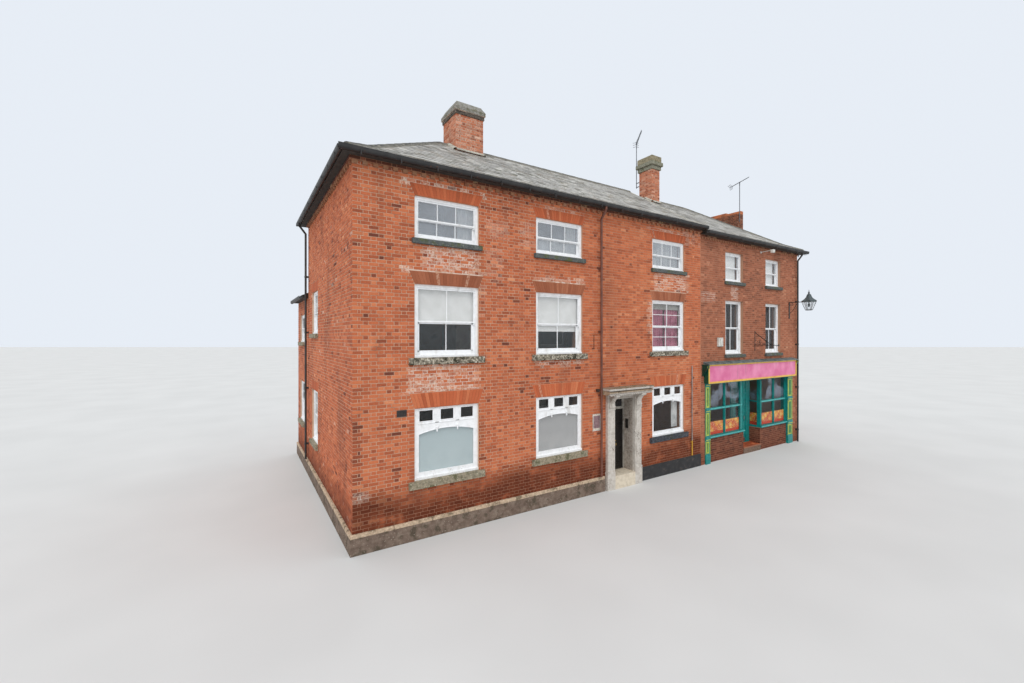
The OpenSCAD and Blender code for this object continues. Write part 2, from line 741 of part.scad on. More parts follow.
module front_door_frame() white_paint() {
  hinge_x = leaf_l - leaf_gap / 2;
  for (side = [0, 1])
    translate([door_x, door_depth, 0]) mirror([side, 0, 0]) translate([-door_hole_w / 2, 0, 0]) {
      translate([0, 0, floor_0]) cube([jamb_w, door_frame_d, door_hole_top - floor_0]);
      translate([0, 0, floor_0]) cube([jamb_w + stop_w, stop_w, door_hole_top - floor_0]);
    }
  translate([door_hole_l, door_depth, door_rail_z]) cube([door_hole_w, door_frame_d, head_rail]);
  translate([door_hole_l, door_depth, door_rail_z - stop_w]) cube([door_hole_w, stop_w, stop_w]);
  translate([door_hole_l, door_depth, door_hole_top - lining_t])
    cube([door_hole_w, door_frame_d, lining_t]);
  translate([door_hole_l + jamb_w, door_depth + stop_w, fanlight_z])
    cube([door_hole_w - 2 * jamb_w, glass_t, fanlight_h]);
  hinge_pins(hinge_x, leaf_y + leaf_t + hinge_off, leaf_z);
}

// Six-panel leaf with its panels sunk on both faces
module front_door() color([0.06, 0.06, 0.065]) translate([leaf_l, leaf_y, leaf_z]) {
  stile = 95;
  panel_w = (leaf_w - 3 * stile) / 2;
  panel_z = [200, 860, 1500];
  panel_h = [520, 520, 330];
  sunk = 12;
  difference() {
    cube([leaf_w, leaf_t, leaf_h]);
    for (col = [0, 1], row = [0:2], face = [-over, leaf_t - sunk])
      translate([stile + col * (panel_w + stile), face, panel_z[row]])
        cube([panel_w, sunk + over, panel_h[row]]);
  }
  hinge_barrels(-leaf_gap / 2, leaf_t + hinge_off, 0);
}

module front_door_furniture() color([0.75, 0.72, 0.62]) translate([door_x, leaf_y, leaf_z]) {
  knob_z = 940;
  plate_w = 250;
  translate([0, 0, knob_z]) rotate([90, 0, 0]) cylinder(r = 30, h = 8);
  translate([0, 0, knob_z]) rotate([90, 0, 0]) cylinder(r = 10, h = 40);
  translate([0, -52, knob_z]) sphere(r = 28);
  translate([0, 0, 800]) translate([-plate_w / 2, -6, -38]) cube([plate_w, 6, 60]);
  translate([0, 0, 1450]) rotate([90, 0, 0]) cylinder(r = 26, h = 16);
  translate([0, 0, 1390]) rotate([90, 0, 0]) difference() {
    cylinder(r = 55, h = 14);
    translate([0, 0, -over]) cylinder(r = 40, h = 14 + 2 * over);
  }
}

// Shopfront
module shop_fascia() color([0.9, 0.35, 0.55]) {
  border = 55;
  sunk = 15;
  fascia_w = shopfront_w + 2 * fascia_lap;
  translate([front_l - fascia_lap, -fascia_out, shopfront_h]) difference() {
    cube([fascia_w, fascia_out, fascia_h]);
    translate([border, -over, border])
      cube([fascia_w - 2 * border, sunk + over, fascia_h - 2 * border]);
  }
}

module fascia_flashing() color([0.4, 0.42, 0.44])
  translate([front_l - 90, 0, shopfront_h + fascia_h]) rotate([90, 0, 90])
    linear_extrude(shopfront_w + 180)
      polygon([[0, 0], [-fascia_out - 60, 0], [-fascia_out - 60, 25], [0, 100]]);

fascia_lap = 50;      // how far the fascia runs past the pilasters
bracket_w = 120;
bracket_h = 430;
bracket_head = 120;
bracket_neck = 90;
bracket_nose = 40;
module fascia_brackets() color([0.08, 0.2, 0.14])
  for (x = [front_l - fascia_lap - bracket_w, front_r + fascia_lap])
    translate([x, 0, shopfront_h + fascia_h]) rotate([90, 0, 90]) linear_extrude(bracket_w)
      polygon([[0, 0], [-fascia_out - bracket_nose, 0], [-fascia_out - bracket_nose, -bracket_head],
        [-fascia_out + bracket_nose / 2, -bracket_head * 1.5], [-bracket_neck, -bracket_h * 0.77],
        [-bracket_neck * 0.67, -bracket_h * 0.93], [0, -bracket_h]]);

block_top = 350;
module shop_pilaster(x, w) {
  face = 40;
  frame = 45;
  band = 20;
  band_z = [[0, block_top], [stallriser_h - 50, stallriser_h + 100],
    [shop_transom_z - 70, shop_transom_z + 60], [shopfront_h - 110, shopfront_h]];
  translate([x, 0, 0]) {
    difference() {
      translate([0, -face, 0]) cube([w, shopfront_back + face, shopfront_h]);
      for (i = [0:2]) translate([frame, -face - over, band_z[i][1] + 30])
        cube([w - 2 * frame, 12 + over, band_z[i + 1][0] - band_z[i][1] - 60]);
    }
    for (b = band_z) translate([0, -face - band, b[0]]) cube([w, band + 1, b[1] - b[0]]);
  }
}

module shop_pilasters() teal_paint() {
  shop_pilaster(front_l, left_pilaster_w);
  shop_pilaster(window_r, right_pilaster_w);
}

module shop_stallrisers() color([0.42, 0.22, 0.17]) {
  brick_y = 40;
  brick_d = shopfront_back - brick_y;
  for (side = [[window_l, lobby_l, lobby_l - return_brick_t], [lobby_r, window_r, lobby_r]]) {
    translate([side[0], brick_y, 0]) cube([side[1] - side[0], brick_d, stallriser_h]);
    translate([side[2], brick_y, 0]) cube([return_brick_t, lobby_back - brick_y, stallriser_h]);
  }
}

// A glazed shopfront frame of width w standing on the sill, with its mullions' centres
light_h = shopfront_h - 40 - shop_light_z;
module shop_lights(w, stiles, mullions, y, t) {
  edges = concat([stiles[0]], [for (m = mullions) m + mullion_w / 2]);
  ends = concat([for (m = mullions) m - mullion_w / 2], [w - stiles[1]]);
  rows = [[shop_light_z, shop_transom_z - transom_t / 2],
    [shop_transom_z + transom_t / 2, shopfront_h - 40]];
  for (i = [0:len(ends) - 1], r = rows)
    translate([edges[i], y, r[0]]) cube([ends[i] - edges[i], t, r[1] - r[0]]);
}

module shop_frame(w, stiles, mullions) difference() {
  translate([0, 0, shop_light_z]) cube([w, shop_frame_t, shopfront_h - shop_light_z]);
  shop_lights(w, stiles, mullions, -over, shop_frame_t + 2 * over);
}

left_mullions = [left_window_w * 0.47];
right_mullions = [right_window_w * 0.53];
return_len = lobby_back - shop_window_d - shop_frame_t;
return_stiles = [50, 50];

// Turns a frame into the lobby: its length runs back from the shop window
module on_return(x) translate([x + shop_frame_t, shop_window_d + shop_frame_t, 0])
  rotate([0, 0, 90]) children();

module shop_window_frames() teal_paint() {
  sill_y = -10;
  translate([window_l, shop_window_d, 0]) shop_frame(left_window_w, [60, corner_post_l], left_mullions);
  translate([lobby_r, shop_window_d, 0]) shop_frame(right_window_w, [corner_post_r, 60], right_mullions);
  for (x = [lobby_l - shop_frame_t, lobby_r]) on_return(x) shop_frame(return_len, return_stiles, []);
  for (side = [[window_l, lobby_l, lobby_l - return_brick_t], [lobby_r, window_r, lobby_r]]) {
    translate([side[0], sill_y, stallriser_h])
      cube([side[1] - side[0], shopfront_back - sill_y, shop_sill_h]);
    translate([side[2], sill_y, stallriser_h]) cube([return_brick_t, lobby_back - sill_y, shop_sill_h]);
  }
  translate([lobby_l, shop_window_d, shopfront_h - 40]) cube([lobby_w, lobby_back - shop_window_d, 40]);
}

module shop_window_glass() color([0.4, 0.5, 0.55, 0.5]) {
  pane_y = shop_frame_t / 2;
  translate([window_l, shop_window_d, 0])
    shop_lights(left_window_w, [60, corner_post_l], left_mullions, pane_y, glass_t);
  translate([lobby_r, shop_window_d, 0])
    shop_lights(right_window_w, [corner_post_r, 60], right_mullions, pane_y, glass_t);
  for (x = [lobby_l - shop_frame_t, lobby_r])
    on_return(x) shop_lights(return_len, return_stiles, [], pane_y, glass_t);
}

module lobby_step() color([0.75, 0.35, 0.22])
  translate([lobby_l, 20, 0]) cube([lobby_w, lobby_back - 20, shop_floor]);

module shop_door_frame() color([0.05, 0.3, 0.25]) {
  left_w = shop_leaf_l - leaf_gap - lobby_l;
  right_w = lobby_r - shop_leaf_l - shop_leaf_w - leaf_gap;
  top = shopfront_h - 40;
  for (j = [[lobby_l, left_w, left_w + stop_w], [lobby_r - right_w, right_w, right_w + stop_w]]) {
    translate([j[0], lobby_d, shop_floor]) cube([j[1], door_frame_d, top - shop_floor]);
  }
  translate([lobby_l, lobby_d, shop_floor]) cube([left_w + stop_w, stop_w, top - shop_floor]);
  translate([lobby_r - right_w - stop_w, lobby_d, shop_floor])
    cube([right_w + stop_w, stop_w, top - shop_floor]);
  translate([lobby_l, lobby_d, shop_rail_z]) cube([lobby_w, door_frame_d, head_rail]);
  translate([lobby_l, lobby_d, shop_rail_z - stop_w]) cube([lobby_w, stop_w, stop_w]);
  translate([lobby_l, lobby_d, top - 50]) cube([lobby_w, door_frame_d, 50]);
  translate([lobby_l + left_w, lobby_d + stop_w, shop_rail_z + head_rail])
    cube([lobby_w - left_w - right_w, glass_t, top - 50 - shop_rail_z - head_rail]);
  hinge_pins(shop_leaf_l - leaf_gap / 2, shop_leaf_y + leaf_t + hinge_off, shop_leaf_z);
}

// Half-glazed leaf over a solid lower panel
shop_door_stile = 100;
shop_door_lock_z = 850;
module shop_door_light(y, t) translate([shop_door_stile, y, shop_door_lock_z])
  cube([shop_leaf_w - 2 * shop_door_stile, t, shop_leaf_h - shop_door_lock_z - shop_door_stile]);

module shop_door() color([0.05, 0.3, 0.25]) translate([shop_leaf_l, shop_leaf_y, shop_leaf_z]) {
  difference() {
    cube([shop_leaf_w, leaf_t, shop_leaf_h]);
    shop_door_light(-over, leaf_t + 2 * over);
    translate([shop_door_stile, -over, 200])
      cube([shop_leaf_w - 2 * shop_door_stile, 12 + over, shop_door_lock_z - 300]);
  }
  hinge_barrels(-leaf_gap / 2, leaf_t + hinge_off, 0);
}

module shop_door_glass() color([0.4, 0.5, 0.55, 0.5])
  translate([shop_leaf_l, shop_leaf_y, shop_leaf_z]) shop_door_light(leaf_t / 2, glass_t);

// Printed panels inside the bottom of the shop's windows, one to a light
poster_h = 500;
module poster(x, w) translate([x + 20, shop_frame_t / 2 + glass_t, shop_light_z])
  cube([w - 40, 3, poster_h]);

module window_posters() color([0.95, 0.6, 0.2]) {
  lm = left_mullions[0];
  rm = right_mullions[0];
  translate([window_l, shop_window_d, 0]) {
    poster(60, lm - mullion_w / 2 - 60);
    poster(lm + mullion_w / 2, left_window_w - corner_post_l - lm - mullion_w / 2);
  }
  translate([lobby_r, shop_window_d, 0]) {
    poster(corner_post_r, rm - mullion_w / 2 - corner_post_r);
    poster(rm + mullion_w / 2, right_window_w - 60 - rm - mullion_w / 2);
  }
  translate([lobby_r + shop_frame_t / 2, shop_window_d + shop_frame_t + return_stiles[0] + 20, shop_light_z])
    cube([3, return_len - 2 * return_stiles[0] - 40, poster_h]);
}

// Floors between the inner faces of the walls, cut round the chimney breasts
module stack_shaft(s, z0, z1) translate([s[0], s[1], z0]) cube([s[2], s[3], z1 - z0]);

module house_slab(top, t) difference() {
  translate([wall_t, wall_t, top - t]) cube([house_len - 2 * wall_t, depth - 2 * wall_t, t]);
  stack_shaft(west_stack, 0, house_top);
}

module shop_slab(top, t) difference() {
  translate([house_len, shop_wall_t, top - t])
    cube([shop_len - shop_wall_t, depth - 2 * shop_wall_t, t]);
  stack_shaft(middle_stack, 0, house_top);
}

module wing_slab(top, t) translate([wing_wall_t, depth, top - t])
  cube([wing_w - 2 * wing_wall_t, wing_len - wing_wall_t, t]);

module ground_floors() color([0.45, 0.36, 0.28]) {
  house_slab(floor_0, ground_floor_t);
  wing_slab(floor_0, ground_floor_t);
  difference() {
    union() {
      shop_slab(shop_floor, ground_floor_t);
      translate([window_l, shopfront_back, shop_floor - ground_floor_t])
        cube([window_r - window_l, shop_wall_t - shopfront_back + 1, ground_floor_t]);
    }
    translate([lobby_l - return_brick_t, 0, 0])
      cube([lobby_w + 2 * return_brick_t, lobby_back, shop_floor + over]);
  }
}

module first_floors() color([0.45, 0.36, 0.28]) {
  house_slab(first_sill - first_breast, floor_t);
  shop_slab(shop_first_sill - shop_first_breast, floor_t);
  wing_slab(first_sill - first_breast, floor_t);
}

module second_floors() color([0.45, 0.36, 0.28]) {
  house_slab(second_sill - second_breast, floor_t);
  shop_slab(shop_second_sill - shop_second_breast, floor_t);
}

// Roof shells: the slated slopes with their bell-cast eaves less the space under them
module slopes(x0, x1, base) translate([x0, -overhang, base]) rotate([90, 0, 90])
  linear_extrude(x1 - x0) polygon(roof_line(roof_span));

// Everything under a hipped end whose eaves stand at x = 0
module hip_end(len, base) {
  over_ridge = roof_span / 2 + 300;
  translate([0, depth + 2 * overhang, base]) rotate([90, 0, 0]) linear_extrude(depth + 4 * overhang)
    polygon([[0, 0], [0, eaves_edge], [bell_w, eaves_edge + rise(bell_w)],
      [over_ridge, eaves_edge + rise(over_ridge)], [len, eaves_edge + rise(over_ridge)], [len, 0]]);
}

module main_roof_volume(drop) intersection() {
  slopes(-overhang, house_len, house_top - drop);
  translate([-overhang, 0, 0]) hip_end(house_len + 2 * overhang, house_top - drop);
}

module shop_roof_volume(drop) intersection() {
  slopes(house_len, total_len + overhang, shop_top - drop);
  translate([total_len + overhang, 0, 0]) mirror([1, 0, 0])
    hip_end(shop_len + 2 * overhang, shop_top - drop);
}

// The loft under the house slates, closed to the wall tops
module roof_void(x0, x1, base, t) intersection() {
  slopes(-overhang, x1, base - roof_t);
  translate([-overhang, 0, 0]) hip_end(x1 + 2 * overhang, base - roof_t);
  translate([x0 + t, t, base - roof_t]) cube([x1 - x0 - t, depth - 2 * t, 4 * roof_span]);
}

module shop_void(t) intersection() {
  slopes(house_len - over, total_len + overhang, shop_top - roof_t);
  translate([total_len + overhang, 0, 0]) mirror([1, 0, 0])
    hip_end(shop_len + 2 * overhang, shop_top - roof_t);
  translate([house_len - over, t, shop_top - roof_t])
    cube([shop_len - t + over, depth - 2 * t, 4 * roof_span]);
}

module main_roof() slate() difference() {
  main_roof_volume(0);
  roof_void(0, house_len + over, house_top, wall_t);
  stack_shaft(west_stack, house_top - over, west_top);
}

module shop_roof() slate() difference() {
  shop_roof_volume(0);
  shop_void(shop_wall_t);
  stack_shaft(middle_stack, shop_top - over, middle_top);
  stack_shaft(east_stack, shop_top - over, middle_top);
}

module wing_slopes(len, drop) translate([-wing_overhang, depth + len, wing_top - drop])
  rotate([90, 0, 0]) linear_extrude(len)
    polygon([[0, 0], [0, wing_edge], [wing_span / 2, wing_ridge], [wing_span, wing_edge], [wing_span, 0]]);

module wing_void(len) intersection() {
  wing_slopes(len, roof_t);
  translate([wing_wall_t, depth - over, 0])
    cube([wing_w - 2 * wing_wall_t, len + over, 2 * wing_top]);
}

module wing_roof() slate() difference() {
  wing_slopes(wing_len, 0);
  intersection() {
    translate([0, -over, 0]) wing_slopes(wing_len + 2 * over, roof_t);
    translate([wing_wall_t, depth - 2 * over, 0])
      cube([wing_w - 2 * wing_wall_t, wing_len + 4 * over, 2 * wing_top]);
  }
}

// Half-round tiles along the ridges and down the hips, bedded on the slates

module tile_rod(a, b) {
  v = b - a;
  run = norm([v[0], v[1]]);
  translate(a) rotate([0, atan2(run, v[2]), atan2(v[1], v[0])])
    cylinder(r = ridge_r, h = norm(v), $fn = 12);
}

module hip_rods(ridge_end, corner_x, dir, base, ridge_z) for (side = [-1, 1]) {
  foot_in = ridge_r + 30;
  low = [corner_x + dir * foot_in, ridge_y + side * (roof_span / 2 - foot_in),
    base + eaves_edge + rise(foot_in)];
  bend = [corner_x + dir * bell_w, ridge_y + side * (roof_span / 2 - bell_w),
    base + eaves_edge + rise(bell_w)];
  tile_rod(low, bend);
  tile_rod(bend, [ridge_end, ridge_y, ridge_z]);
}

module ridge_tiles() color([0.36, 0.33, 0.31]) {
  house_end = -overhang + roof_span / 2;
  shop_end = total_len + overhang - roof_span / 2;
  sink = ridge_r - 45;
  difference() {
    translate([0, 0, -sink]) {
      translate([house_end, ridge_y, house_ridge_z]) rotate([0, 90, 0])
        cylinder(r = ridge_r, h = house_len - house_end, $fn = 12);
      hip_rods(house_end, -overhang, 1, house_top, house_ridge_z);
    }
    main_roof_volume(0);
    stack_shaft(west_stack, house_top, west_top);
  }
  difference() {
    translate([0, 0, -sink]) {
      translate([house_len + mitre_gap, ridge_y, shop_ridge_z]) rotate([0, 90, 0])
        cylinder(r = ridge_r, h = shop_end - house_len - mitre_gap, $fn = 12);
      hip_rods(shop_end, total_len + overhang, -1, shop_top, shop_ridge_z);
    }
    shop_roof_volume(0);
    stack_shaft(middle_stack, shop_top, middle_top);
    stack_shaft(east_stack, shop_top, middle_top);
  }
  difference() {
    translate([wing_w / 2, depth, wing_top + wing_ridge - sink]) rotate([-90, 0, 0])
      cylinder(r = ridge_r, h = wing_len, $fn = 12);
    wing_slopes(wing_len, 0);
  }
}

// Half-round gutters with a flat back against the eaves edge
module gutter_run(x0, x1, top, edge) {
  r = gutter_w / 2;
  translate([x0, -edge, top]) rotate([90, 0, 90]) linear_extrude(x1 - x0) difference() {
    union() {
      translate([-gutter_w, 0]) square([gutter_w, r]);
      translate([-r, 0]) circle(r);
    }
    translate([-gutter_w + gutter_t, 0]) square([gutter_w - 2 * gutter_t, r + over]);
    translate([-r, 0]) circle(r - gutter_t);
  }
}

gutter_z = 50;
module gutters() black_iron() {
  far = overhang + gutter_w;
  gutter_run(-far, house_len, house_top + gutter_z, overhang);
  on_side() gutter_run(-overhang + mitre_gap, depth + overhang - mitre_gap, house_top + gutter_z, overhang);
  on_rear() gutter_run(-far, house_len, house_top + gutter_z, overhang);
  gutter_run(house_len + mitre_gap, total_len + far, shop_top + gutter_z, overhang);
  on_rear() gutter_run(house_len + mitre_gap, total_len + far, shop_top + gutter_z, overhang);
  on_east() gutter_run(-overhang + mitre_gap, depth + overhang - mitre_gap, shop_top + gutter_z, overhang);
  on_side() gutter_run(depth + mitre_gap, depth + wing_len, wing_top + 20, wing_overhang);
}

// A downpipe from a gutter back to the wall, held off it by lugs
first_lug = 500;
lug_pitch = 1900;
module downpipe(x, top, foot, edge) {
  outlet = -edge - gutter_w / 2;
  neck = 260;
  start = top + gutter_z - gutter_w / 2 - 60;
  bend_z = start - neck;
  run = -pipe_off - outlet;
  translate([x, outlet, start]) cylinder(r = pipe_r, h = 60);
  translate([x, outlet, start]) sphere(r = pipe_r);
  translate([x, outlet, start]) rotate([180 + atan2(run, neck), 0, 0])
    cylinder(r = pipe_r, h = norm([run, neck]));
  translate([x, -pipe_off, bend_z]) sphere(r = pipe_r);
  translate([x, -pipe_off, foot]) cylinder(r = pipe_r, h = bend_z - foot);
  for (z = [foot + first_lug:lug_pitch:bend_z]) {
    translate([x, -pipe_off, z]) cylinder(r = pipe_r + 8, h = 60);
    translate([x - 45, -pipe_off + pipe_r - 4, z]) cube([90, pipe_off - pipe_r + 4, 60]);
  }
}

module downpipes() black_iron() {
  brown_x = doorcase_l - 260;
  downpipe(brown_x, house_top, plinth_top + 40, overhang);
  on_side() downpipe(depth - 100, house_top, plinth_top + 40, overhang);
  downpipe(total_len - 150, shop_top, 0, overhang);
}

// Chimneys run down inside the house as plain breasts
module frustum(w, d, in, h) intersection() {
  translate([0, d, 0]) rotate([90, 0, 0]) linear_extrude(d)
    polygon([[0, 0], [w, 0], [w - in, h], [in, h]]);
  rotate([90, 0, 90]) linear_extrude(w) polygon([[0, 0], [d, 0], [d - in, h], [in, h]]);
}

module stack_band(s, out, z, h) translate([s[0] - out, s[1] - out, z])
  cube([s[2] + 2 * out, s[3] + 2 * out, h]);

module chimney_west() brick() {
  course = 110;
  cap_h = 180;
  band_z = west_top - cap_h - 2 * course;
  stack_shaft(west_stack, 0, band_z);
  stack_band(west_stack, oversail, band_z, course);
  stack_band(west_stack, 2 * oversail, band_z + course, course);
  translate([west_stack[0] - oversail, west_stack[1] - oversail, west_top - cap_h])
    frustum(west_stack[2] + 2 * oversail, west_stack[3] + 2 * oversail, 90, cap_h);
}

module chimney_middle() brick() {
  band_h = 160;
  neck_h = 240;
  neck_in = 60;
  band_z = middle_top - neck_h - 2 * band_h;
  stack_shaft(middle_stack, 0, band_z);
  stack_band(middle_stack, oversail, band_z, band_h);
  stack_band(middle_stack, 2 * oversail, band_z + band_h, band_h);
  stack_band(middle_stack, -neck_in, band_z + 2 * band_h, neck_h);
}

// Stands on the end wall and has lost its top courses
module chimney_east() dark_brick() {
  course = 80;
  s = east_stack;
  difference() {
    stack_shaft(s, shop_top, east_top);
    translate([s[0] - over, s[1] - over, east_top - course]) cube([s[2] / 2, s[3] / 3, 2 * course]);
    translate([s[0] + s[2] / 2, s[1] + s[3] * 0.6, east_top - 2 * course])
      cube([s[2], s[3], 3 * course]);
  }
}

// Television aerials clamped to the middle and east chimneys
module aerial(x, y, z0, z1, seat_y, clamps, boom_z, elements, turn) {
  mast_r = 16;
  translate([x, y, z0]) cylinder(r = mast_r, h = z1 - z0);
  for (z = clamps) translate([x - 20, min(y, seat_y), z]) cube([40, abs(y - seat_y), 30]);
  translate([x, y, boom_z]) rotate([0, 0, turn]) {
    translate([-boom_len / 2, 0, 0]) rotate([0, 90, 0]) cylinder(r = 9, h = boom_len);
    for (i = [0:elements - 1])
      translate([-boom_len / 2 + 30 + i * (boom_len - 60) / (elements - 1), -150, 0])
        rotate([-90, 0, 0]) cylinder(r = 5, h = 300);
  }
}

module aerials() color([0.5, 0.5, 0.52]) {
  m = middle_stack;
  e = east_stack;
  foot_1 = middle_top - 1170;
  foot_2 = east_top - 600;
  boom_drop = 130;
  aerial(m[0] + 40, m[1] + m[3] + 200, foot_1, foot_1 + mast_1_h, m[1] + m[3],
    [foot_1 + 30, foot_1 + 210], foot_1 + mast_1_h - boom_drop, 9, 40);
  aerial(e[0] + 40, e[1] - 60, foot_2, foot_2 + mast_2_h, e[1],
    [foot_2 + 100, foot_2 + 400], foot_2 + mast_2_h - boom_drop, 7, -35);
}

// Iron bracket with a six-sided lantern that hangs from its shoulder
module wall_lantern() black_iron() {
  x = house_len + lantern_off;
  plate_h = 670;
  plate_t = 20;
  arm_h = 24;
  shoulder_r = 300;
  shoulder_h = 60;
  foot_r = 130;
  body_h = 340;
  cap_h = 110;
  neck_h = 160;
  plate_z = lantern_z - plate_h - 10;
  ring_z = lantern_z - 30;
  stay = lantern_out * 0.42;
  translate([x - 30, -plate_t, plate_z]) cube([60, plate_t, plate_h]);
  translate([x - arm_h / 2, -lantern_out + shoulder_r / 2, lantern_z - arm_h])
    cube([arm_h, lantern_out - shoulder_r / 2 - plate_t + over, arm_h]);
  translate([x - 10, 0, plate_z + 260]) rotate([90, 0, 90]) linear_extrude(20)
    polygon([[-plate_t + over, 0], [-plate_t + over, 40], [-stay, plate_h - 270],
      [-stay - 40, plate_h - 270]]);
  translate([x, -lantern_out, ring_z]) {
    cylinder(r = shoulder_r, h = shoulder_h, $fn = 6);
    translate([0, 0, -body_h]) cylinder(r1 = foot_r, r2 = shoulder_r - 40, h = body_h + over, $fn = 6);
    translate([0, 0, -body_h - 20]) cylinder(r = foot_r + 12, h = 21, $fn = 6);
    translate([0, 0, shoulder_h - over]) cylinder(r1 = shoulder_r - 20, r2 = 120, h = cap_h, $fn = 6);
    translate([0, 0, shoulder_h + cap_h - 2 * over]) cylinder(r1 = 120, r2 = 45, h = neck_h, $fn = 6);
    translate([0, 0, shoulder_h + cap_h + neck_h - 3 * over]) cylinder(r1 = 30, r2 = 6, h = 160);
  }
}

// Iron bar that held a hanging sign
module sign_bracket() black_iron() {
  x = house_len + bracket_off;
  plate_t = 15;
  plate_h = 800;
  bar_h = 24;
  translate([x - 15, -plate_t, bracket_z - 220]) cube([30, plate_t, plate_h]);
  translate([x - bar_h / 2, -bracket_out, bracket_z])
    cube([bar_h, bracket_out - plate_t + over, bar_h]);
  translate([x - 8, 0, bracket_z + plate_h - 300]) rotate([90, 0, 90]) linear_extrude(16)
    polygon([[-plate_t + over, 0], [-plate_t + over, 30], [-bracket_out * 0.7, -plate_h * 0.575],
      [-bracket_out * 0.7, -plate_h * 0.6125]]);
}

// Alarm box, bare plaque, vent, conduit, an old hook, a small lamp and one on an arm
module wall_fittings() color([0.85, 0.84, 0.8]) {
  box_size = [300, 70, 330];
  plaque_size = [300, 20, 500];
  vent_size = [230, 15, 150];
  foot_size = [80, 40, 80];
  arm = 25;
  arm_len = 380;
  head_size = [160, 100, 120];
  conduit_r = 20;
  conduit_h = 3160;
  conduit_x = house_len - 550;
  lamp_x = house_len + lamp_off;
  lamp_z = shop_top - lamp_drop;
  translate([house_len + 1000, -box_size[1], shop_first_sill + 320]) cube(box_size);
  translate([doorcase_l - 530, -plaque_size[1], ground_sill + 520]) cube(plaque_size);
  translate([doorcase_l - 490, -16, first_sill + 140]) cube([16, 16, 400]);
  translate([doorcase_l - 570, -46, first_sill + 140]) cube([96, 30, 16]);
  translate([doorcase_l - 490, -46, first_sill + 140]) cube([16, 46, 16]);
  translate([doorcase_l - 400, -30, shopfront_h + 60]) cube([80, 30, 80]);
  translate([doorcase_l - 360, -90, shopfront_h + 100]) rotate([-90, 0, 0]) cylinder(r = 45, h = 61);
  translate([bay_1_x - win_w / 2 - 420, -vent_size[1], ground_sill + ground_h - 150]) cube(vent_size);
  translate([conduit_x, -2.25 * conduit_r, plinth_top + conduit_r]) cylinder(r = conduit_r, h = conduit_h);
  for (i = [0:2])
    translate([conduit_x - 30, -1.5 * conduit_r, plinth_top + 0.15 * conduit_h + i * conduit_h / 3])
      cube([60, 1.5 * conduit_r, 30]);
  translate([lamp_x, -foot_size[1], lamp_z]) cube(foot_size);
  translate([lamp_x + foot_size[0] / 2, -foot_size[1] - arm_len, lamp_z + foot_size[2] / 2])
    cube([arm, arm_len + over, arm]);
  translate([lamp_x, -foot_size[1] - arm_len - head_size[1] + over, lamp_z - foot_size[2] / 2])
    cube(head_size);
}

front_wall_left();
front_wall_right();
front_wall_over_door();
side_wall();
rear_wall();
party_wall();
shop_front_wall();
shop_front_piers();
shop_end_wall();
shop_rear_wall();
wing_side_walls();
wing_party_wall();
flat_arches();
eaves_cornice();
plinth_kerb();
black_plinth();
stone_sills();
slate_sills();
ground_window_frames();
front_sashes();
side_and_rear_sashes();
window_glass();
blinds();
curtains();
doorcase();
door_hood();
door_step();
door_linings();
front_door_frame();
front_door();
front_door_furniture();
shop_fascia();
fascia_flashing();
fascia_brackets();
shop_pilasters();
shop_stallrisers();
shop_window_frames();
shop_window_glass();
lobby_step();
shop_door_frame();
shop_door();
shop_door_glass();
window_posters();
ground_floors();
first_floors();
second_floors();
main_roof();
shop_roof();
wing_roof();
ridge_tiles();
gutters();
downpipes();
chimney_west();
chimney_middle();
chimney_east();
aerials();
wall_lantern();
sign_bracket();
wall_fittings();
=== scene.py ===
# Corner house and shop: the looks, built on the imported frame
import json
import random
from math import asin, cos, pi, radians, sin, tan

import bpy
import numpy as np
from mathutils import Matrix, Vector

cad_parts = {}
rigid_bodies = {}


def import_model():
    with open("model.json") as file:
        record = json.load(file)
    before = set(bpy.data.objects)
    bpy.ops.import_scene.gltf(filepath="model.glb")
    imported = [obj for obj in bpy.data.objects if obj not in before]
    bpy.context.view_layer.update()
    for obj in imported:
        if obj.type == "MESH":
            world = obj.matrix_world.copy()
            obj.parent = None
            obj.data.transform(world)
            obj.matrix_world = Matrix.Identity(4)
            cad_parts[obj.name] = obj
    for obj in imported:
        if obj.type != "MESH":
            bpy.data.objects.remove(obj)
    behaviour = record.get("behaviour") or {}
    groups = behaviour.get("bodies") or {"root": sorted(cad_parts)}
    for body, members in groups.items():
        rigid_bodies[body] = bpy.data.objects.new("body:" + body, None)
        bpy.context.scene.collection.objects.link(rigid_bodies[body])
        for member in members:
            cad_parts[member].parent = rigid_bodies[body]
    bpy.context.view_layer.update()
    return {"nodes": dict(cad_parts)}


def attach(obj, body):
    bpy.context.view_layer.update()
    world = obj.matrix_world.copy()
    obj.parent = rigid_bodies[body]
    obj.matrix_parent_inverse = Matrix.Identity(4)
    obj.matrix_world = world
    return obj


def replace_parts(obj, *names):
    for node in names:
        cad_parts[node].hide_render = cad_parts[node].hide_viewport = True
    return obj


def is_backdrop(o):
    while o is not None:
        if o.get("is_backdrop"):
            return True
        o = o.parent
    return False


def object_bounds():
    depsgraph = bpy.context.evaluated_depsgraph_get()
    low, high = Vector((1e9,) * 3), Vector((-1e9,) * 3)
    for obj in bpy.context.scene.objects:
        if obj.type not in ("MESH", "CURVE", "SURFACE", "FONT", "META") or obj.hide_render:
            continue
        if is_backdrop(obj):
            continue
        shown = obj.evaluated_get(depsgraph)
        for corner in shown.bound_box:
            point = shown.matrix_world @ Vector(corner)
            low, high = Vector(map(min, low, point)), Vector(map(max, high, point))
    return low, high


bpy.ops.object.select_all(action="SELECT")
bpy.ops.object.delete()
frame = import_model()
cad_nodes = frame["nodes"]

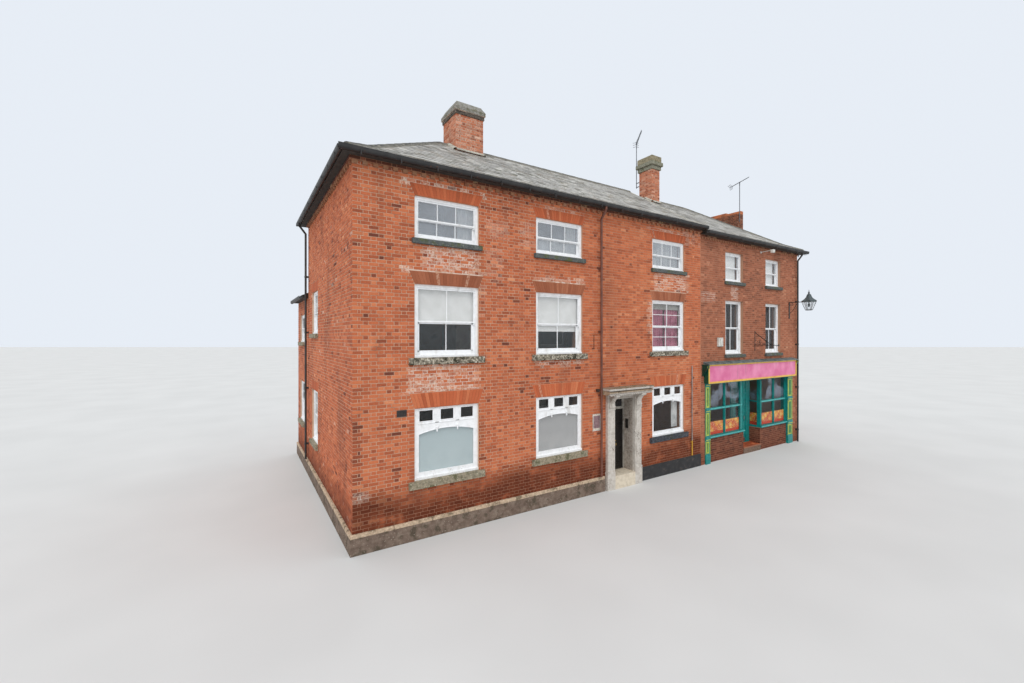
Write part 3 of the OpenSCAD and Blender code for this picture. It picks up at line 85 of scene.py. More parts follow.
# Camera
# Stands across the street corner at the height of the first floor and looks level along both fronts.
bpy.ops.object.camera_add(location=(-2.057, -9.587, 4.655), rotation=(radians(90), 0, radians(-32.35)))
camera = bpy.context.object
camera.data.lens = 15.21
camera.data.sensor_width = 36
camera.data.shift_y = -0.0044
camera.data.clip_end = 200
bpy.context.scene.camera = camera
bpy.context.scene.view_settings.view_transform = "Standard"

# Brick walls
# Solid walls of handmade orange-red bricks in lime mortar, laid in Flemish bond at 80 mm a course and
# patched in places with white mortar. The CAD wall is the mortar; each brick stands proud of its joints.
BRICK = (0.215, 0.007, 0.068)
JOINT = 0.012
COURSE = 0.080


def tone(red, green, blue):
    """A colour given as a screen shows it, from 0 to 255."""
    return tuple((c / 255 / 12.92) if c < 11 else ((c / 255 + 0.055) / 1.055) ** 2.4
        for c in (red, green, blue)) + (1.0,)


def node(mat, kind, sockets=(), **settings):
    """Adds a node whose sockets take plain values or are joined to other nodes' outputs."""
    made = mat.node_tree.nodes.new(kind)
    for key, value in settings.items():
        setattr(made, key, value)
    for key, value in dict(sockets).items():
        if isinstance(value, bpy.types.NodeSocket):
            mat.node_tree.links.new(value, made.inputs[key])
        else:
            made.inputs[key].default_value = value
    return made


def finish(name, roughness, **sockets):
    """A new material with its constant values on the shader's own sockets."""
    mat = bpy.data.materials.new(name)
    mat.use_nodes = True
    shader = mat.node_tree.nodes["Principled BSDF"]
    shader.inputs["Roughness"].default_value = roughness
    for key, value in sockets.items():
        shader.inputs[key.replace("_", " ")].default_value = value
    return mat


def place(mat):
    """Where a point lies on the building, in metres."""
    return node(mat, "ShaderNodeTexCoord").outputs["Object"]


def east_and_up(mat):
    """How far east along the fronts a point lies, and how high."""
    parts = node(mat, "ShaderNodeSeparateXYZ", {0: place(mat)})
    return parts.outputs[0], parts.outputs[2]


def grain(mat, size, detail=3.0, stretch=(1, 1, 1)):
    """Cloudy noise with blotches of about that size in metres."""
    where = node(mat, "ShaderNodeMapping", {"Vector": place(mat), "Scale": stretch}).outputs[0]
    return node(mat, "ShaderNodeTexNoise", {"Vector": where, "Scale": 1 / size,
        "Detail": detail}).outputs[0]


def steps(mat, value, stops):
    """Turns a value into colours, given as (value, (red, green, blue)) from low to high."""
    ramp = node(mat, "ShaderNodeValToRGB", {"Fac": value})
    while len(ramp.color_ramp.elements) < len(stops):
        ramp.color_ramp.elements.new(0.5)
    for element, (at, colour) in zip(ramp.color_ramp.elements, stops):
        element.position = at
        element.color = tone(*colour)
    return ramp.outputs[0]


def band(mat, value, low, high):
    """Rises smoothly from 0 at low to 1 at high, or falls where low is above high."""
    return node(mat, "ShaderNodeMapRange", {"Value": value, "From Min": low, "From Max": high},
        interpolation_type="SMOOTHSTEP").outputs[0]


def sums(mat, how, first, second):
    """One sum of two values."""
    return node(mat, "ShaderNodeMath", {0: first, 1: second}, operation=how).outputs[0]


def times(mat, first, second):
    return sums(mat, "MULTIPLY", first, second)


def over(mat, amount, under, top):
    """Lays one colour over another, each from the nodes or as a screen shows it."""
    under, top = [tone(*layer) if isinstance(layer, tuple) else layer for layer in (under, top)]
    return node(mat, "ShaderNodeMix", {0: amount, 6: under, 7: top}, data_type="RGBA").outputs[2]


def coat(mat, colour, height=None, depth=0.002):
    """Gives the shader its colour, and its relief from a height."""
    shader = mat.node_tree.nodes["Principled BSDF"]
    mat.node_tree.links.new(colour, shader.inputs["Base Color"])
    if height is not None:
        bump = node(mat, "ShaderNodeBump", {"Height": height, "Distance": depth, "Strength": 1.0})
        mat.node_tree.links.new(bump.outputs[0], shader.inputs["Normal"])
    return mat


def mottled(name, roughness, blotches, stops, relief=None, depth=0.0, **sockets):
    """A finish with blotches of a few colours, and a fine relief."""
    mat = finish(name, roughness, **sockets)
    return coat(mat, steps(mat, grain(mat, *blotches), stops), relief and grain(mat, *relief), depth)


def patch(mat, x, z, spot):
    """A soft-edged patch on a wall, from one corner to the other."""
    x0, x1, z0, z1 = spot
    across = times(mat, band(mat, x, x0 - 0.12, x0 + 0.12), band(mat, x, x1 + 0.12, x1 - 0.12))
    up = times(mat, band(mat, z, z0 - 0.05, z0 + 0.05), band(mat, z, z1 + 0.05, z1 - 0.05))
    return times(mat, across, up)


def dress(mat, *names):
    """Gives CAD nodes their finish."""
    for name in names:
        cad_nodes[name].data.materials.clear()
        cad_nodes[name].data.materials.append(mat)


# Where the front was pointed again in white, and where lime has run: left, right, foot, top, strength
FRONT_LIME = [(1.25, 2.95, 3.42, 3.98, 0.75), (1.15, 3.0, 3.36, 3.44, 0.8), (4.85, 6.45, 3.88, 4.02, 0.6),
    (1.6, 2.95, 6.28, 6.80, 0.8), (1.1, 3.1, 6.18, 6.26, 0.8), (4.85, 6.45, 6.16, 6.28, 0.7),
    (1.1, 3.15, 8.19, 8.27, 0.9), (4.8, 6.5, 8.19, 8.25, 0.55), (9.6, 11.25, 6.2, 6.8, 0.75),
    (9.4, 11.3, 8.17, 8.27, 0.55), (11.2, 12.1, 7.9, 8.3, 0.4), (9.36, 9.5, 4.8, 5.85, 0.75),
    (3.4, 3.75, 7.2, 7.6, 0.35), (4.4, 4.75, 7.15, 7.7, 0.4), (3.3, 3.6, 6.1, 6.9, 0.3),
    (3.0, 3.2, 5.2, 5.9, 0.3), (0.05, 0.3, 1.1, 1.25, 0.8)]
SHOP_LIME = [(14.1, 14.4, 6.1, 6.6, 0.5), (12.2, 13.0, 6.0, 6.3, 0.25)]


def mortar(name, base, pale, patches):
    mat = finish(name, 0.95, Specular_IOR_Level=0.2)
    east, up = east_and_up(mat)
    colour = steps(mat, grain(mat, 0.35, 5), [(0.3, base), (0.55, pale), (0.75, (150, 122, 104))])
    redder = times(mat, band(mat, east, 3.0, 7.0), 0.55)
    colour = over(mat, redder, colour, (176, 122, 94))
    damp = times(mat, band(mat, up, 1.35, 0.95), band(mat, grain(mat, 0.5, 4), 0.1, 0.4))
    colour = over(mat, damp, colour, (152, 108, 86))
    for spot in patches:
        white = times(mat, patch(mat, east, up, spot[:4]), band(mat, grain(mat, 0.12, 2), 0.36, 0.5))
        colour = over(mat, white, colour, (226, 212, 200))
    return coat(mat, colour, grain(mat, 0.02, 4), 0.003)


house_mortar = mortar("house_mortar", (188, 150, 126), (205, 172, 148),
    [spot for spot in FRONT_LIME if spot[4] > 0.5])
shop_mortar = mortar("shop_mortar", (160, 132, 112), (178, 150, 128), SHOP_LIME)
dress(house_mortar, "front_wall_left", "front_wall_right", "front_wall_over_door", "side_wall",
    "rear_wall", "party_wall", "wing_side_walls", "wing_party_wall")
dress(shop_mortar, "shop_front_wall", "shop_front_piers", "shop_end_wall", "shop_rear_wall")


def mode(name):
    bpy.ops.object.mode_set(mode=name)


def pick(piece, facing=None):
    """Selects the faces that look one way, or all of them, and opens edit mode."""
    mode("OBJECT")
    bpy.context.tool_settings.mesh_select_mode = (False, False, True)
    for group in (piece.data.vertices, piece.data.edges):
        group.foreach_set("select", [False] * len(group))
    for face in piece.data.polygons:
        face.select = facing is None or face.normal.dot(facing) > 0.9
    mode("EDIT")


def begin(name, add, **settings):
    """Adds a primitive on its own and gives it its name."""
    bpy.ops.object.select_all(action="DESELECT")
    add(**settings)
    piece = bpy.context.object
    piece.name = name
    piece.data.name = name
    return piece


def edit_all():
    """Opens edit mode on the active piece with everything selected."""
    mode("EDIT")
    bpy.ops.mesh.select_all(action="SELECT")


def settle(piece, body="building"):
    """Gives a piece its body."""
    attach(piece, body)
    return piece


def pattern_of(piece):
    """The corners and faces of a piece that is modelled once, and is copied from here on."""
    mode("OBJECT")
    corners = np.array([v.co for v in piece.data.vertices])
    faces = [tuple(face.vertices) for face in piece.data.polygons]
    bpy.data.objects.remove(piece)
    return corners, faces


def block_pattern(size, rise, foot=0, face=None):
    """A thin block with no back: size, rise, how far its foot stands out and how its face narrows."""
    piece = begin("pattern", bpy.ops.mesh.primitive_cube_add, size=1)
    mode("EDIT")
    bpy.ops.transform.resize(value=size)
    bpy.ops.transform.translate(value=(0, rise, 0))
    if foot:
        pick(piece, (0, 0, -1))
        bpy.ops.transform.translate(value=(0, foot, 0))
    pick(piece, (0, -1, 0))
    bpy.ops.mesh.delete(type="ONLY_FACE")
    if face:
        pick(piece, (0, 1, 0))
        bpy.ops.transform.resize(value=face)
    return pattern_of(piece)


brick_pattern = block_pattern(BRICK, BRICK[1] / 2, face=(0.972, 1, 0.91))


def joined(name, corners, faces, mat, fired=None):
    """One piece from many copies, with what was fired, limed and damped on each of them."""
    mesh = bpy.data.meshes.new(name)
    mesh.from_pydata(corners, [], faces)
    if fired is not None:
        layer = mesh.color_attributes.new("fired", "FLOAT_COLOR", "CORNER")
        layer.data.foreach_set("color", np.asarray(fired, dtype=np.float32).ravel())
    mesh.materials.append(mat)
    piece = bpy.data.objects.new(name, mesh)
    bpy.context.scene.collection.objects.link(piece)
    return piece


def lay(name, pattern, spots, axes, origin, mat):
    """Copies a brick or slate to every spot: middle, height, length, rise, stand, three shades, tilt."""
    base, faces = pattern
    spots = np.array(spots, dtype=float)
    size = base.max(0) - base.min(0)
    body = np.repeat(base[None], len(spots), 0)
    for column, axis in ((2, 0), (3, 2)):
        spare = (spots[:, column] - size[axis]) / 2
        body[:, :, axis] += np.sign(base[:, axis])[None] * spare[:, None]
    body[:, :, 1] = body[:, :, 1] * spots[:, 4:5] + body[:, :, 0] * spots[:, 8:9]
    body[:, :, 0] += spots[:, 0:1]
    body[:, :, 2] += spots[:, 1:2]
    corners = body.reshape(-1, 3) @ np.array(axes, dtype=float) + np.array(origin, dtype=float)
    mirrored = np.linalg.det(np.array(axes, dtype=float)) < 0
    faces = np.array([face[::-1] if mirrored else face for face in faces])
    step = (np.arange(len(spots)) * len(base))[:, None, None]
    every = (faces[None] + step).reshape(-1, faces.shape[1])
    fired = np.repeat(np.c_[spots[:, 5:8], np.ones(len(spots))], faces.size, 0)
    return settle(joined(name, corners, every.tolist(), mat, fired))


def lay_bricks(name, run, axes, origin, mat):
    """Lays a stretch of wall, given as the courses take it."""
    return lay(name, brick_pattern, courses(*run), axes, origin, mat)


def hole(x, sill, width, height):
    return (x - width / 2, x - width / 2, x + width / 2, x + width / 2, sill, sill + height)


def arch_hole(x, foot, width, rise, flare=0.13):
    return (x - width / 2, x - width / 2 - flare, x + width / 2, x + width / 2 + flare, foot, foot + rise)


def courses(left, right, foot, top, openings, look):
    """Lays out a wall in Flemish bond, cut at its openings, as spots for the bricks."""
    spots = []
    for k in range(int(round((top - foot) / COURSE))):
        low = foot + k * COURSE
        high = min(low + COURSE, top)
        rows = [(left, right, low, high)]
        for left_low, left_high, right_low, right_high, bottom, head in openings:
            if bottom > high - 0.004 or head < low + 0.004:
                continue
            share = min(max(((low + high) / 2 - bottom) / (head - bottom), 0), 1)
            start = left_low + (left_high - left_low) * share
            end = right_low + (right_high - right_low) * share
            kept = []
            for a, b, lo, hi in rows:
                if end <= a or start >= b:
                    kept.append((a, b, lo, hi))
                    continue
                if start > a + 0.03:
                    kept.append((a, start, lo, hi))
                if end < b - 0.03:
                    kept.append((end, b, lo, hi))
                if bottom - lo > 0.025:
                    kept.append((max(a, start), min(b, end), lo, bottom))
                if hi - head > 0.025:
                    kept.append((max(a, start), min(b, end), head, hi))
            rows = kept
        joints = [left]
        sizes = [0.225, 0.1125] if k % 2 == 0 else [0.1125, 0.056, 0.225]
        while joints[-1] < right:
            joints.append(joints[-1] + sizes[0])
            sizes = sizes[1:] if len(sizes) > 1 else [0.1125 if sizes[0] > 0.2 else 0.225]
        for a, b, lo, hi in rows:
            cuts = [a] + [j for j in joints if a + 0.05 < j < b - 0.05] + [b]
            for start, end in zip(cuts, cuts[1:]):
                u = (start + end) / 2
                z = (lo + hi) / 2 + chance.gauss(0, 0.0012)
                shades = look(u, z, end - start < 0.15)
                spots.append((u, z, end - start - JOINT + chance.gauss(0, 0.0015), hi - lo - JOINT,
                    chance.uniform(0.6, 1.25), *shades, chance.gauss(0, 0.006)))
    return spots


def drift(u, z):
    """Slow changes of colour across a wall, from -1 to 1."""
    return (sin(u * 1.7 + z * 0.6) + sin(z * 2.3 - u * 0.8 + 1.3) + sin(u * 0.55 + 2.1)) / 3


def limed(u, z, patches):
    found = 0.0
    for x0, x1, z0, z1, strength in patches:
        if x0 - 0.1 < u < x1 + 0.1 and z0 - 0.04 < z < z1 + 0.04 and chance.random() < 0.75:
            found = max(found, strength * chance.uniform(0.2, 1.0))
    return found


def front_look(u, z, header):
    shade = 0.52 + 0.10 * drift(u, z) + chance.gauss(0, 0.12) - (0.06 if header else 0)
    shade -= 0.35 if chance.random() < 0.025 else 0.0
    shade -= 0.34 if u < 0.26 and z < 3.0 and chance.random() < 0.6 else 0.0
    shade += 0.05 if u > 7.0 else 0.0
    damp = min(max((1.32 + 0.22 * drift(u * 2, 0) - z) / 0.5, 0), 1) + max(0, chance.gauss(0, 0.08))
    return shade, limed(u, z, FRONT_LIME), damp


def plain_look(u, z, header):
    shade = 0.52 + 0.10 * drift(u * 1.2 + 5, z) + chance.gauss(0, 0.12) - (0.06 if header else 0)
    shade -= 0.35 if chance.random() < 0.03 else 0.0
    lime = chance.uniform(0.2, 0.7) if chance.random() < 0.012 else 0.0
    return shade, lime, min(max((1.2 - z) / 0.7, 0), 1) * 0.85 + max(0, chance.gauss(0, 0.1))


def shop_look(u, z, header):
    shade = 0.5 + 0.10 * drift(u, z) + chance.gauss(0, 0.12) - (0.06 if header else 0) + (0.1
        if u > 17.7 else 0)
    lime = limed(u, z, SHOP_LIME)
    return shade, lime, min(max((1.0 - z) / 0.9, 0), 1) * 0.7 + max(0, chance.gauss(0, 0.1))


def copy_shades(mat):
    """The three shades that every laid copy carries: how it was fired, limed and damped."""
    fired = node(mat, "ShaderNodeAttribute", attribute_name="fired").outputs["Color"]
    return node(mat, "ShaderNodeSeparateColor", {0: fired}).outputs


def fired_clay(name, stops, lime_tone):
    mat = finish(name, 0.88, Specular_IOR_Level=0.25)
    shades = copy_shades(mat)
    fired = sums(mat, "ADD", shades[0], times(mat, grain(mat, 0.03, 4), 0.4))
    colour = steps(mat, sums(mat, "SUBTRACT", fired, 0.2), stops)
    streaks = band(mat, grain(mat, 0.9, 5, (1, 1, 0.25)), 0.52, 0.72)
    colour = over(mat, times(mat, streaks, 0.4), colour, (108, 66, 52))
    bloom = times(mat, shades[1], band(mat, grain(mat, 0.05, 4), 0.35, 0.6))
    colour = over(mat, bloom, colour, lime_tone)
    wet = times(mat, shades[2], band(mat, grain(mat, 0.4, 4), 0.15, 0.5))
    colour = over(mat, times(mat, wet, 0.9), colour, (94, 43, 24))
    return coat(mat, colour, grain(mat, 0.008, 5), 0.0025)


house_brick = fired_clay("house_brick", [(0.0, (112, 62, 48)), (0.25, (162, 86, 58)),
    (0.5, (192, 106, 70)), (0.75, (208, 124, 84)), (1.0, (224, 156, 116))], (228, 206, 188))
shop_brick = fired_clay("shop_brick", [(0.0, (92, 58, 48)), (0.25, (136, 84, 64)), (0.5, (166, 102, 76)),
    (0.75, (182, 118, 90)), (1.0, (200, 148, 118))], (222, 206, 192))
FOOT = 0.44
HEAD = 8.43
SHOP_HEAD = 8.30
DEPTH = 6.8
PARTY = 12.1
SHOP_END = 19.2
FACING_STREET = ((1, 0, 0), (0, -1, 0), (0, 0, 1))
FACING_SIDE = ((0, 1, 0), (-1, 0, 0), (0, 0, 1))
FACING_BACK = ((1, 0, 0), (0, 1, 0), (0, 0, 1))
FACING_EAST = ((0, 1, 0), (1, 0, 0), (0, 0, 1))
BAYS = (2.20, 5.62, 10.33)
WIN_W = 1.66
GROUND = (1.33, 1.67)
FIRST = (4.17, 1.71)
SECOND = (6.92, 1.00)
SHOP_BAYS = (14.25, 17.13)
SHOP_W = 1.20
SHOP_FIRST = (3.98, 2.07)
SHOP_SECOND = (6.78, 1.14)
front_holes = [hole(8.12, 0, 1.46, 2.92)]
for x in BAYS:
    for (sill, height), rise in ((GROUND, 0.36), (FIRST, 0.30), (SECOND, 0.28)):
        front_holes += [hole(x, sill, WIN_W, height), arch_hole(x, sill + height, WIN_W, rise)]
chance = random.Random(11)
side_holes = [hole(5.3, 1.33, 1.2, 1.64), arch_hole(5.3, 2.97, 1.2, 0.30)]
side_holes += [hole(5.3, 4.75, 1.2, 1.35), arch_hole(5.3, 6.10, 1.2, 0.30)]
wing_holes = [hole(8.4, 1.5, 1.3, 1.5), hole(8.4, 4.46, 1.3, 1.02)]
gable = [(-1, -1, 0, 2.0, 6.06, 7.04), (4.0, 2.0, 5, 5, 6.06, 7.04)]
rear_holes = [hole(2.0, 0, 4.0, 6.1)]
for x in BAYS[1:]:
    rear_holes += [hole(x, sill, WIN_W, height) for sill, height in (GROUND, FIRST, SECOND)]
shop_holes = [hole(15.515, 0, 6.31, 3.70)]
back_holes = []
for x in SHOP_BAYS:
    shop_holes += [hole(x, sill, SHOP_W, height) for sill, height in (SHOP_FIRST, SHOP_SECOND)]
    back_holes += [hole(x, sill, SHOP_W, height) for sill, height in (GROUND, SHOP_FIRST, SHOP_SECOND)]
for name, run, axes, origin in (
        ("front_bricks_left", (-0.006, 6.0, FOOT, HEAD, front_holes, front_look), FACING_STREET,
        (0, 0, 0)),
        ("front_bricks_right", (6.0, PARTY, FOOT, HEAD, front_holes, front_look), FACING_STREET,
        (0, 0, 0)),
        ("side_bricks", (-0.005, DEPTH, FOOT, HEAD, side_holes, plain_look), FACING_SIDE, (0, 0, 0)),
        ("wing_bricks_street", (DEPTH, 9.7, FOOT, 6.0, wing_holes, plain_look), FACING_SIDE, (0, 0, 0)),
        ("wing_bricks_yard", (DEPTH, 9.7, 0, 6.0, [], plain_look), FACING_EAST, (4.0, 0, 0)),
        ("wing_bricks_end", (0, 4.0, 0, 7.04, gable, plain_look), FACING_BACK, (0, 9.7, 0)),
        ("rear_bricks", (0, PARTY, 0, HEAD, rear_holes, plain_look), FACING_BACK, (0, DEPTH, 0))):
    lay_bricks(name, run, axes, origin, house_brick)
for name, run, axes, origin in (
        ("shop_bricks", (12.112, 19.206, 0, SHOP_HEAD, shop_holes, shop_look), FACING_STREET, (0, 0, 0)),
        ("shop_rear_bricks", (PARTY, SHOP_END, 0, SHOP_HEAD, back_holes, shop_look), FACING_BACK,
        (0, DEPTH, 0)),
        ("shop_end_bricks", (-0.005, 6.805, 0, SHOP_HEAD, [], plain_look), FACING_EAST, (SHOP_END, 0, 0))):
    lay_bricks(name, run, axes, origin, shop_brick)

# Flat arches
# Rubbed bricks of a brighter orange, cut to wedges and set upright over every opening with joints a few
# millimetres wide.
arch_brick = fired_clay("arch_brick", [(0.0, (144, 78, 52)), (0.3, (176, 92, 60)), (0.6, (194, 102, 66)),
    (1.0, (210, 132, 92))], (222, 196, 172))
brown_arch_brick = fired_clay("brown_arch_brick", [(0.0, (116, 68, 48)), (0.3, (150, 88, 62)),
    (0.6, (166, 102, 74)), (1.0, (186, 128, 98))], (222, 196, 172))
arch_joint = mortar("arch_joint", (168, 108, 76), (186, 128, 96), [])
dress(arch_joint, "flat_arches")


def wedges(spots, x, foot, width, rise, flare=0.13):
    """Upright bricks of one arch, each leaning a little more than the last."""
    count = int(width / 0.078)
    for i in range(count):
        share = (i + 0.5) / count
        low, high = x + (share - 0.5) * width, x + (share - 0.5) * (width + 2 * flare)
        spots.append((low, high, foot, rise, (width / count) - 0.005,
            ((width + 2 * flare) / count) - 0.005))


def lay_arches(name, arches, axes, shade, mat):
    spots = []
    for arch in arches:
        wedges(spots, *arch)
    base = brick_pattern[0]
    corners = []
    fired = []
    for low, high, foot, rise, low_w, high_w in spots:
        stand = chance.uniform(0.8, 1.2)
        shades = (shade + chance.gauss(0, 0.14), 0.35 if chance.random() < 0.04 else 0.0,
            max(0, chance.gauss(0, 0.12)), 1)
        for across, out, up in base:
            side, part = across / BRICK[0], up / BRICK[2] + 0.5
            corners.append((low + (high - low) * part + side * (low_w + (high_w - low_w) * part),
                out * stand, foot + 0.004 + part * (rise - 0.010)))
        fired += [shades] * 20
    corners = np.array(corners) @ np.array(axes, dtype=float)
    mirrored = np.linalg.det(np.array(axes, dtype=float)) < 0
    faces = [tuple(i + k * len(base) for i in (face[::-1] if mirrored else face))
        for k in range(len(spots)) for face in brick_pattern[1]]
    settle(joined(name, corners.tolist(), faces, mat, fired))


lay_arches("ground_arch_bricks", [(x, 3.0, WIN_W, 0.36) for x in BAYS], FACING_STREET, 0.62, arch_brick)
lay_arches("first_arch_bricks", [(x, 5.88, WIN_W, 0.30) for x in BAYS], FACING_STREET, 0.5,
    brown_arch_brick)
lay_arches("top_arch_bricks", [(x, 7.92, WIN_W, 0.28) for x in BAYS], FACING_STREET, 0.5, arch_brick)
lay_arches("side_arch_bricks", [(5.3, 2.97, 1.2, 0.30), (5.3, 6.10, 1.2, 0.30)], FACING_SIDE, 0.45,
    arch_brick)

# Eaves cornice
# One oversailing course over a row of bricks set out as dentils, always in the shade of the gutter.
# The oversailing bricks are coloured dark, partly for soot and partly as painted shade of the gutter.
soot_and_shade_brick = fired_clay("soot_and_shade_brick", [(0.0, (54, 36, 30)), (0.4, (92, 54, 42)), (0.7, (124, 72, 54)),
    (1.0, (168, 112, 82))], (180, 152, 116))
dentil_brick = mortar("dentil_brick", (126, 78, 58), (158, 114, 86), [])
dress(dentil_brick, "eaves_cornice")


def cornice_look(u, z, header):
    # A low firing shade darkens these bricks, partly for soot and partly as painted shade under the
    # gutter.
    pale = chance.uniform(0.2, 0.7) if chance.random() < 0.04 + 0.02 * u else 0.0
    return 0.38 + chance.gauss(0, 0.16), pale, abs(chance.gauss(0, 0.2))


for name, axes, origin, run, top in (
        ("cornice_bricks_front", FACING_STREET, (0, -0.075, 0), (-0.08, PARTY), 8.50),
        ("cornice_bricks_side", FACING_SIDE, (-0.075, 0, 0), (-0.08, DEPTH), 8.50),
        ("cornice_bricks_back", FACING_BACK, (0, 6.875, 0), (0, PARTY), 8.50),
        ("cornice_bricks_shop", FACING_STREET, (0, -0.045, 0), (PARTY, SHOP_END), 8.37),
        ("cornice_bricks_yard", FACING_BACK, (0, 6.845, 0), (PARTY, SHOP_END), 8.37),
        ("cornice_bricks_end", FACING_EAST, (19.245, 0, 0), (0, DEPTH), 8.37)):
    spots = courses(run[0], run[1], top - 0.072, top, [], cornice_look)
    lay(name, brick_pattern, spots, axes, origin, soot_and_shade_brick)

# Plinths
# A worn stone kerb laid along the foot of the street walls, over a rendered footing, and a footing
# painted black between the door and the shop.


def move_to(piece, co):
    """Moves a piece's corners."""
    piece.data.vertices.foreach_set("co", co.ravel())
    piece.data.update()


def eased(name, blocks, edge, mat, body="building", rough=0.0, cuts=0):
    """Blocks from corner to corner with eased edges: one block is modelled, and stretched to each size."""
    block = begin("pattern", bpy.ops.mesh.primitive_cube_add, size=1)
    mode("EDIT")
    bpy.ops.mesh.bevel(offset=edge, segments=1, affect="EDGES")
    base, faces = pattern_of(block)
    corners = []
    for low, high in blocks:
        for corner in base:
            corners.append([l + (0 if c < 0 else h - l) + (c + 0.5 if c < 0 else c - 0.5)
                for c, l, h in zip(corner, low, high)])
    every = [tuple(i + k * len(base) for i in face) for k in range(len(blocks)) for face in faces]
    piece = joined(name, corners, every, mat)
    if cuts:
        bpy.context.view_layer.objects.active = piece
        piece.select_set(True)
        pick(piece)
        bpy.ops.mesh.subdivide(number_cuts=cuts)
        mode("OBJECT")
        spread = np.random.RandomState(5)
        co = np.array([v.co for v in piece.data.vertices])
        co += spread.uniform(-rough, rough, co.shape)
        move_to(piece, co)
    return settle(piece, body)


def stone(name, stops, moss, lichen, size=0.05):
    mat = finish(name, 0.93, Specular_IOR_Level=0.2)
    colour = steps(mat, grain(mat, size, 6), stops)
    colour = over(mat, band(mat, grain(mat, 0.16, 5), 0.5, 0.68), colour, moss)
    colour = over(mat, band(mat, grain(mat, 0.035, 4), 0.62, 0.68), colour, lichen)
    return coat(mat, colour, grain(mat, 0.012, 6), 0.004)


kerb_stone = stone("kerb_stone", [(0.3, (166, 146, 124)), (0.55, (200, 176, 150)),
    (0.75, (216, 198, 174))], (128, 112, 92), (222, 212, 194))
footing = stone("footing", [(0.3, (102, 86, 76)), (0.55, (126, 109, 97)), (0.75, (142, 127, 114))],
    (88, 78, 66), (156, 144, 130), 0.12)
dress(footing, "plinth_kerb")


def stones(first, last, end, lengths, out, z0, z1, side=False, shift=0.0):
    """A row of stones of chance lengths along the street front or the side."""
    row = []
    left = first
    while left < last:
        right = min(left + chance.uniform(*lengths) - (shift if left == first else 0), end)
        low, high = (left + 0.003, -out), (right - 0.003, 0.0)
        row.append(((*low[::-1], z0), (*high[::-1], z1)) if side else ((*low, z0), (*high, z1)))
        left = right
    return row


kerbs = stones(-0.066, 7.2, 7.295, (0.8, 1.0), 0.069, 0.365, 0.452)
eased("front_kerb", kerbs, 0.012, kerb_stone, rough=0.002, cuts=3)
kerbs = stones(0.004, 9.6, 9.695, (0.8, 1.0), 0.069, 0.365, 0.452, side=True)
eased("side_kerb", kerbs, 0.012, kerb_stone, rough=0.002, cuts=3)
blocks = []
for z0, z1, shift in ((0.004, 0.180, 0.0), (0.184, 0.361, 0.45)):
    blocks += stones(-0.062, 7.2, 7.293, (0.85, 0.95), 0.064, z0, z1, shift=shift)
    blocks += stones(0.002, 9.6, 9.693, (0.85, 0.95), 0.064, z0, z1, True, shift)
eased("footing_stones", blocks, 0.008, footing, rough=0.002, cuts=3)
black_paint = mottled("black_masonry_paint", 0.6, (0.15, 6),
    [(0.35, (28, 28, 30)), (0.6, (44, 44, 46)), (0.72, (84, 70, 62))], (0.01, 5), 0.003)
dress(black_paint, "black_plinth")
eased("black_footing", [((8.945, -0.027, 0.0), (12.095, -0.001, 0.436))], 0.006, black_paint,
    rough=0.002, cuts=5)

# Sills
# Rough stone sills with moss and lichen under the lower windows, thin slates under the top ones, and one
# painted dark. Their tops fall outwards a little.
sill_stone = stone("sill_stone", [(0.3, (118, 112, 96)), (0.55, (152, 142, 122)), (0.75, (172, 160, 138))],
    (100, 98, 74), (196, 190, 168))
crusted_stone = stone("crusted_stone", [(0.3, (70, 66, 58)), (0.5, (128, 120, 106)),
    (0.7, (206, 198, 180))], (58, 56, 44), (216, 212, 198))
sill_slate = stone("sill_slate", [(0.3, (72, 76, 77)), (0.6, (98, 102, 101)), (0.8, (122, 124, 119))],
    (88, 94, 66), (140, 142, 130))
painted_sill = stone("painted_sill", [(0.3, (50, 52, 58)), (0.6, (76, 79, 86)), (0.8, (104, 107, 114))],
    (64, 66, 60), (120, 122, 124))
dress(sill_stone, "stone_sills")
dress(sill_slate, "slate_sills")


def sills(windows, height, ear, out=0.086):
    return [((x - width / 2 - ear, -out, foot - height), (x + width / 2 + ear, 0.06, foot + 0.004))
        for x, foot, width in windows]


def turn_onto(wall, piece, flip=True):
    """Turns a piece made for the street front onto the side or the back, where one is named."""
    if wall:
        axes, shift = wall
        co = np.array([v.co for v in piece.data.vertices]) @ np.array(axes, dtype=float) + np.array(shift)
        move_to(piece, co)
        if flip:
            piece.data.flip_normals()
            piece.data.update()
    return piece


def worn_sills(name, blocks, mat, wall=None):
    return turn_onto(wall, eased(name, blocks, 0.009, mat, rough=0.004, cuts=4))


ONTO_SIDE = (((0, 1, 0), (1, 0, 0), (0, 0, 1)), (0, 0, 0))
ONTO_BACK = (((1, 0, 0), (0, -1, 0), (0, 0, 1)), (0, 6.8, 0))
worn_sills("ground_sills", sills([(x, 1.33, WIN_W) for x in BAYS[:2]], 0.166, 0.144), sill_stone)
worn_sills("first_sills", sills([(x, 4.17, WIN_W) for x in BAYS], 0.156, 0.144), crusted_stone)
worn_sills("third_ground_sill", sills([(BAYS[2], 1.33, WIN_W)], 0.166, 0.144), painted_sill)
worn_sills("second_sills", sills([(x, 6.92, WIN_W) for x in BAYS], 0.116, 0.074)
    + sills([(x, z, SHOP_W) for x in SHOP_BAYS for z in (3.98, 6.78)], 0.116, 0.074), sill_slate)
worn_sills("side_sills", sills([(5.3, 1.33, 1.2), (5.3, 4.75, 1.2), (8.4, 1.5, 1.3), (8.4, 4.46, 1.3)],
    0.126, 0.074), sill_stone, ONTO_SIDE)
worn_sills("rear_sills", sills([(x, z, WIN_W) for x in BAYS[1:] for z in (1.33, 4.17, 6.92)], 0.126,
    0.074), sill_stone, ONTO_BACK)
worn_sills("yard_sills", sills([(x, z, SHOP_W) for x in SHOP_BAYS for z in (1.33, 3.98, 6.78)], 0.116,
    0.074), sill_slate, ONTO_BACK)

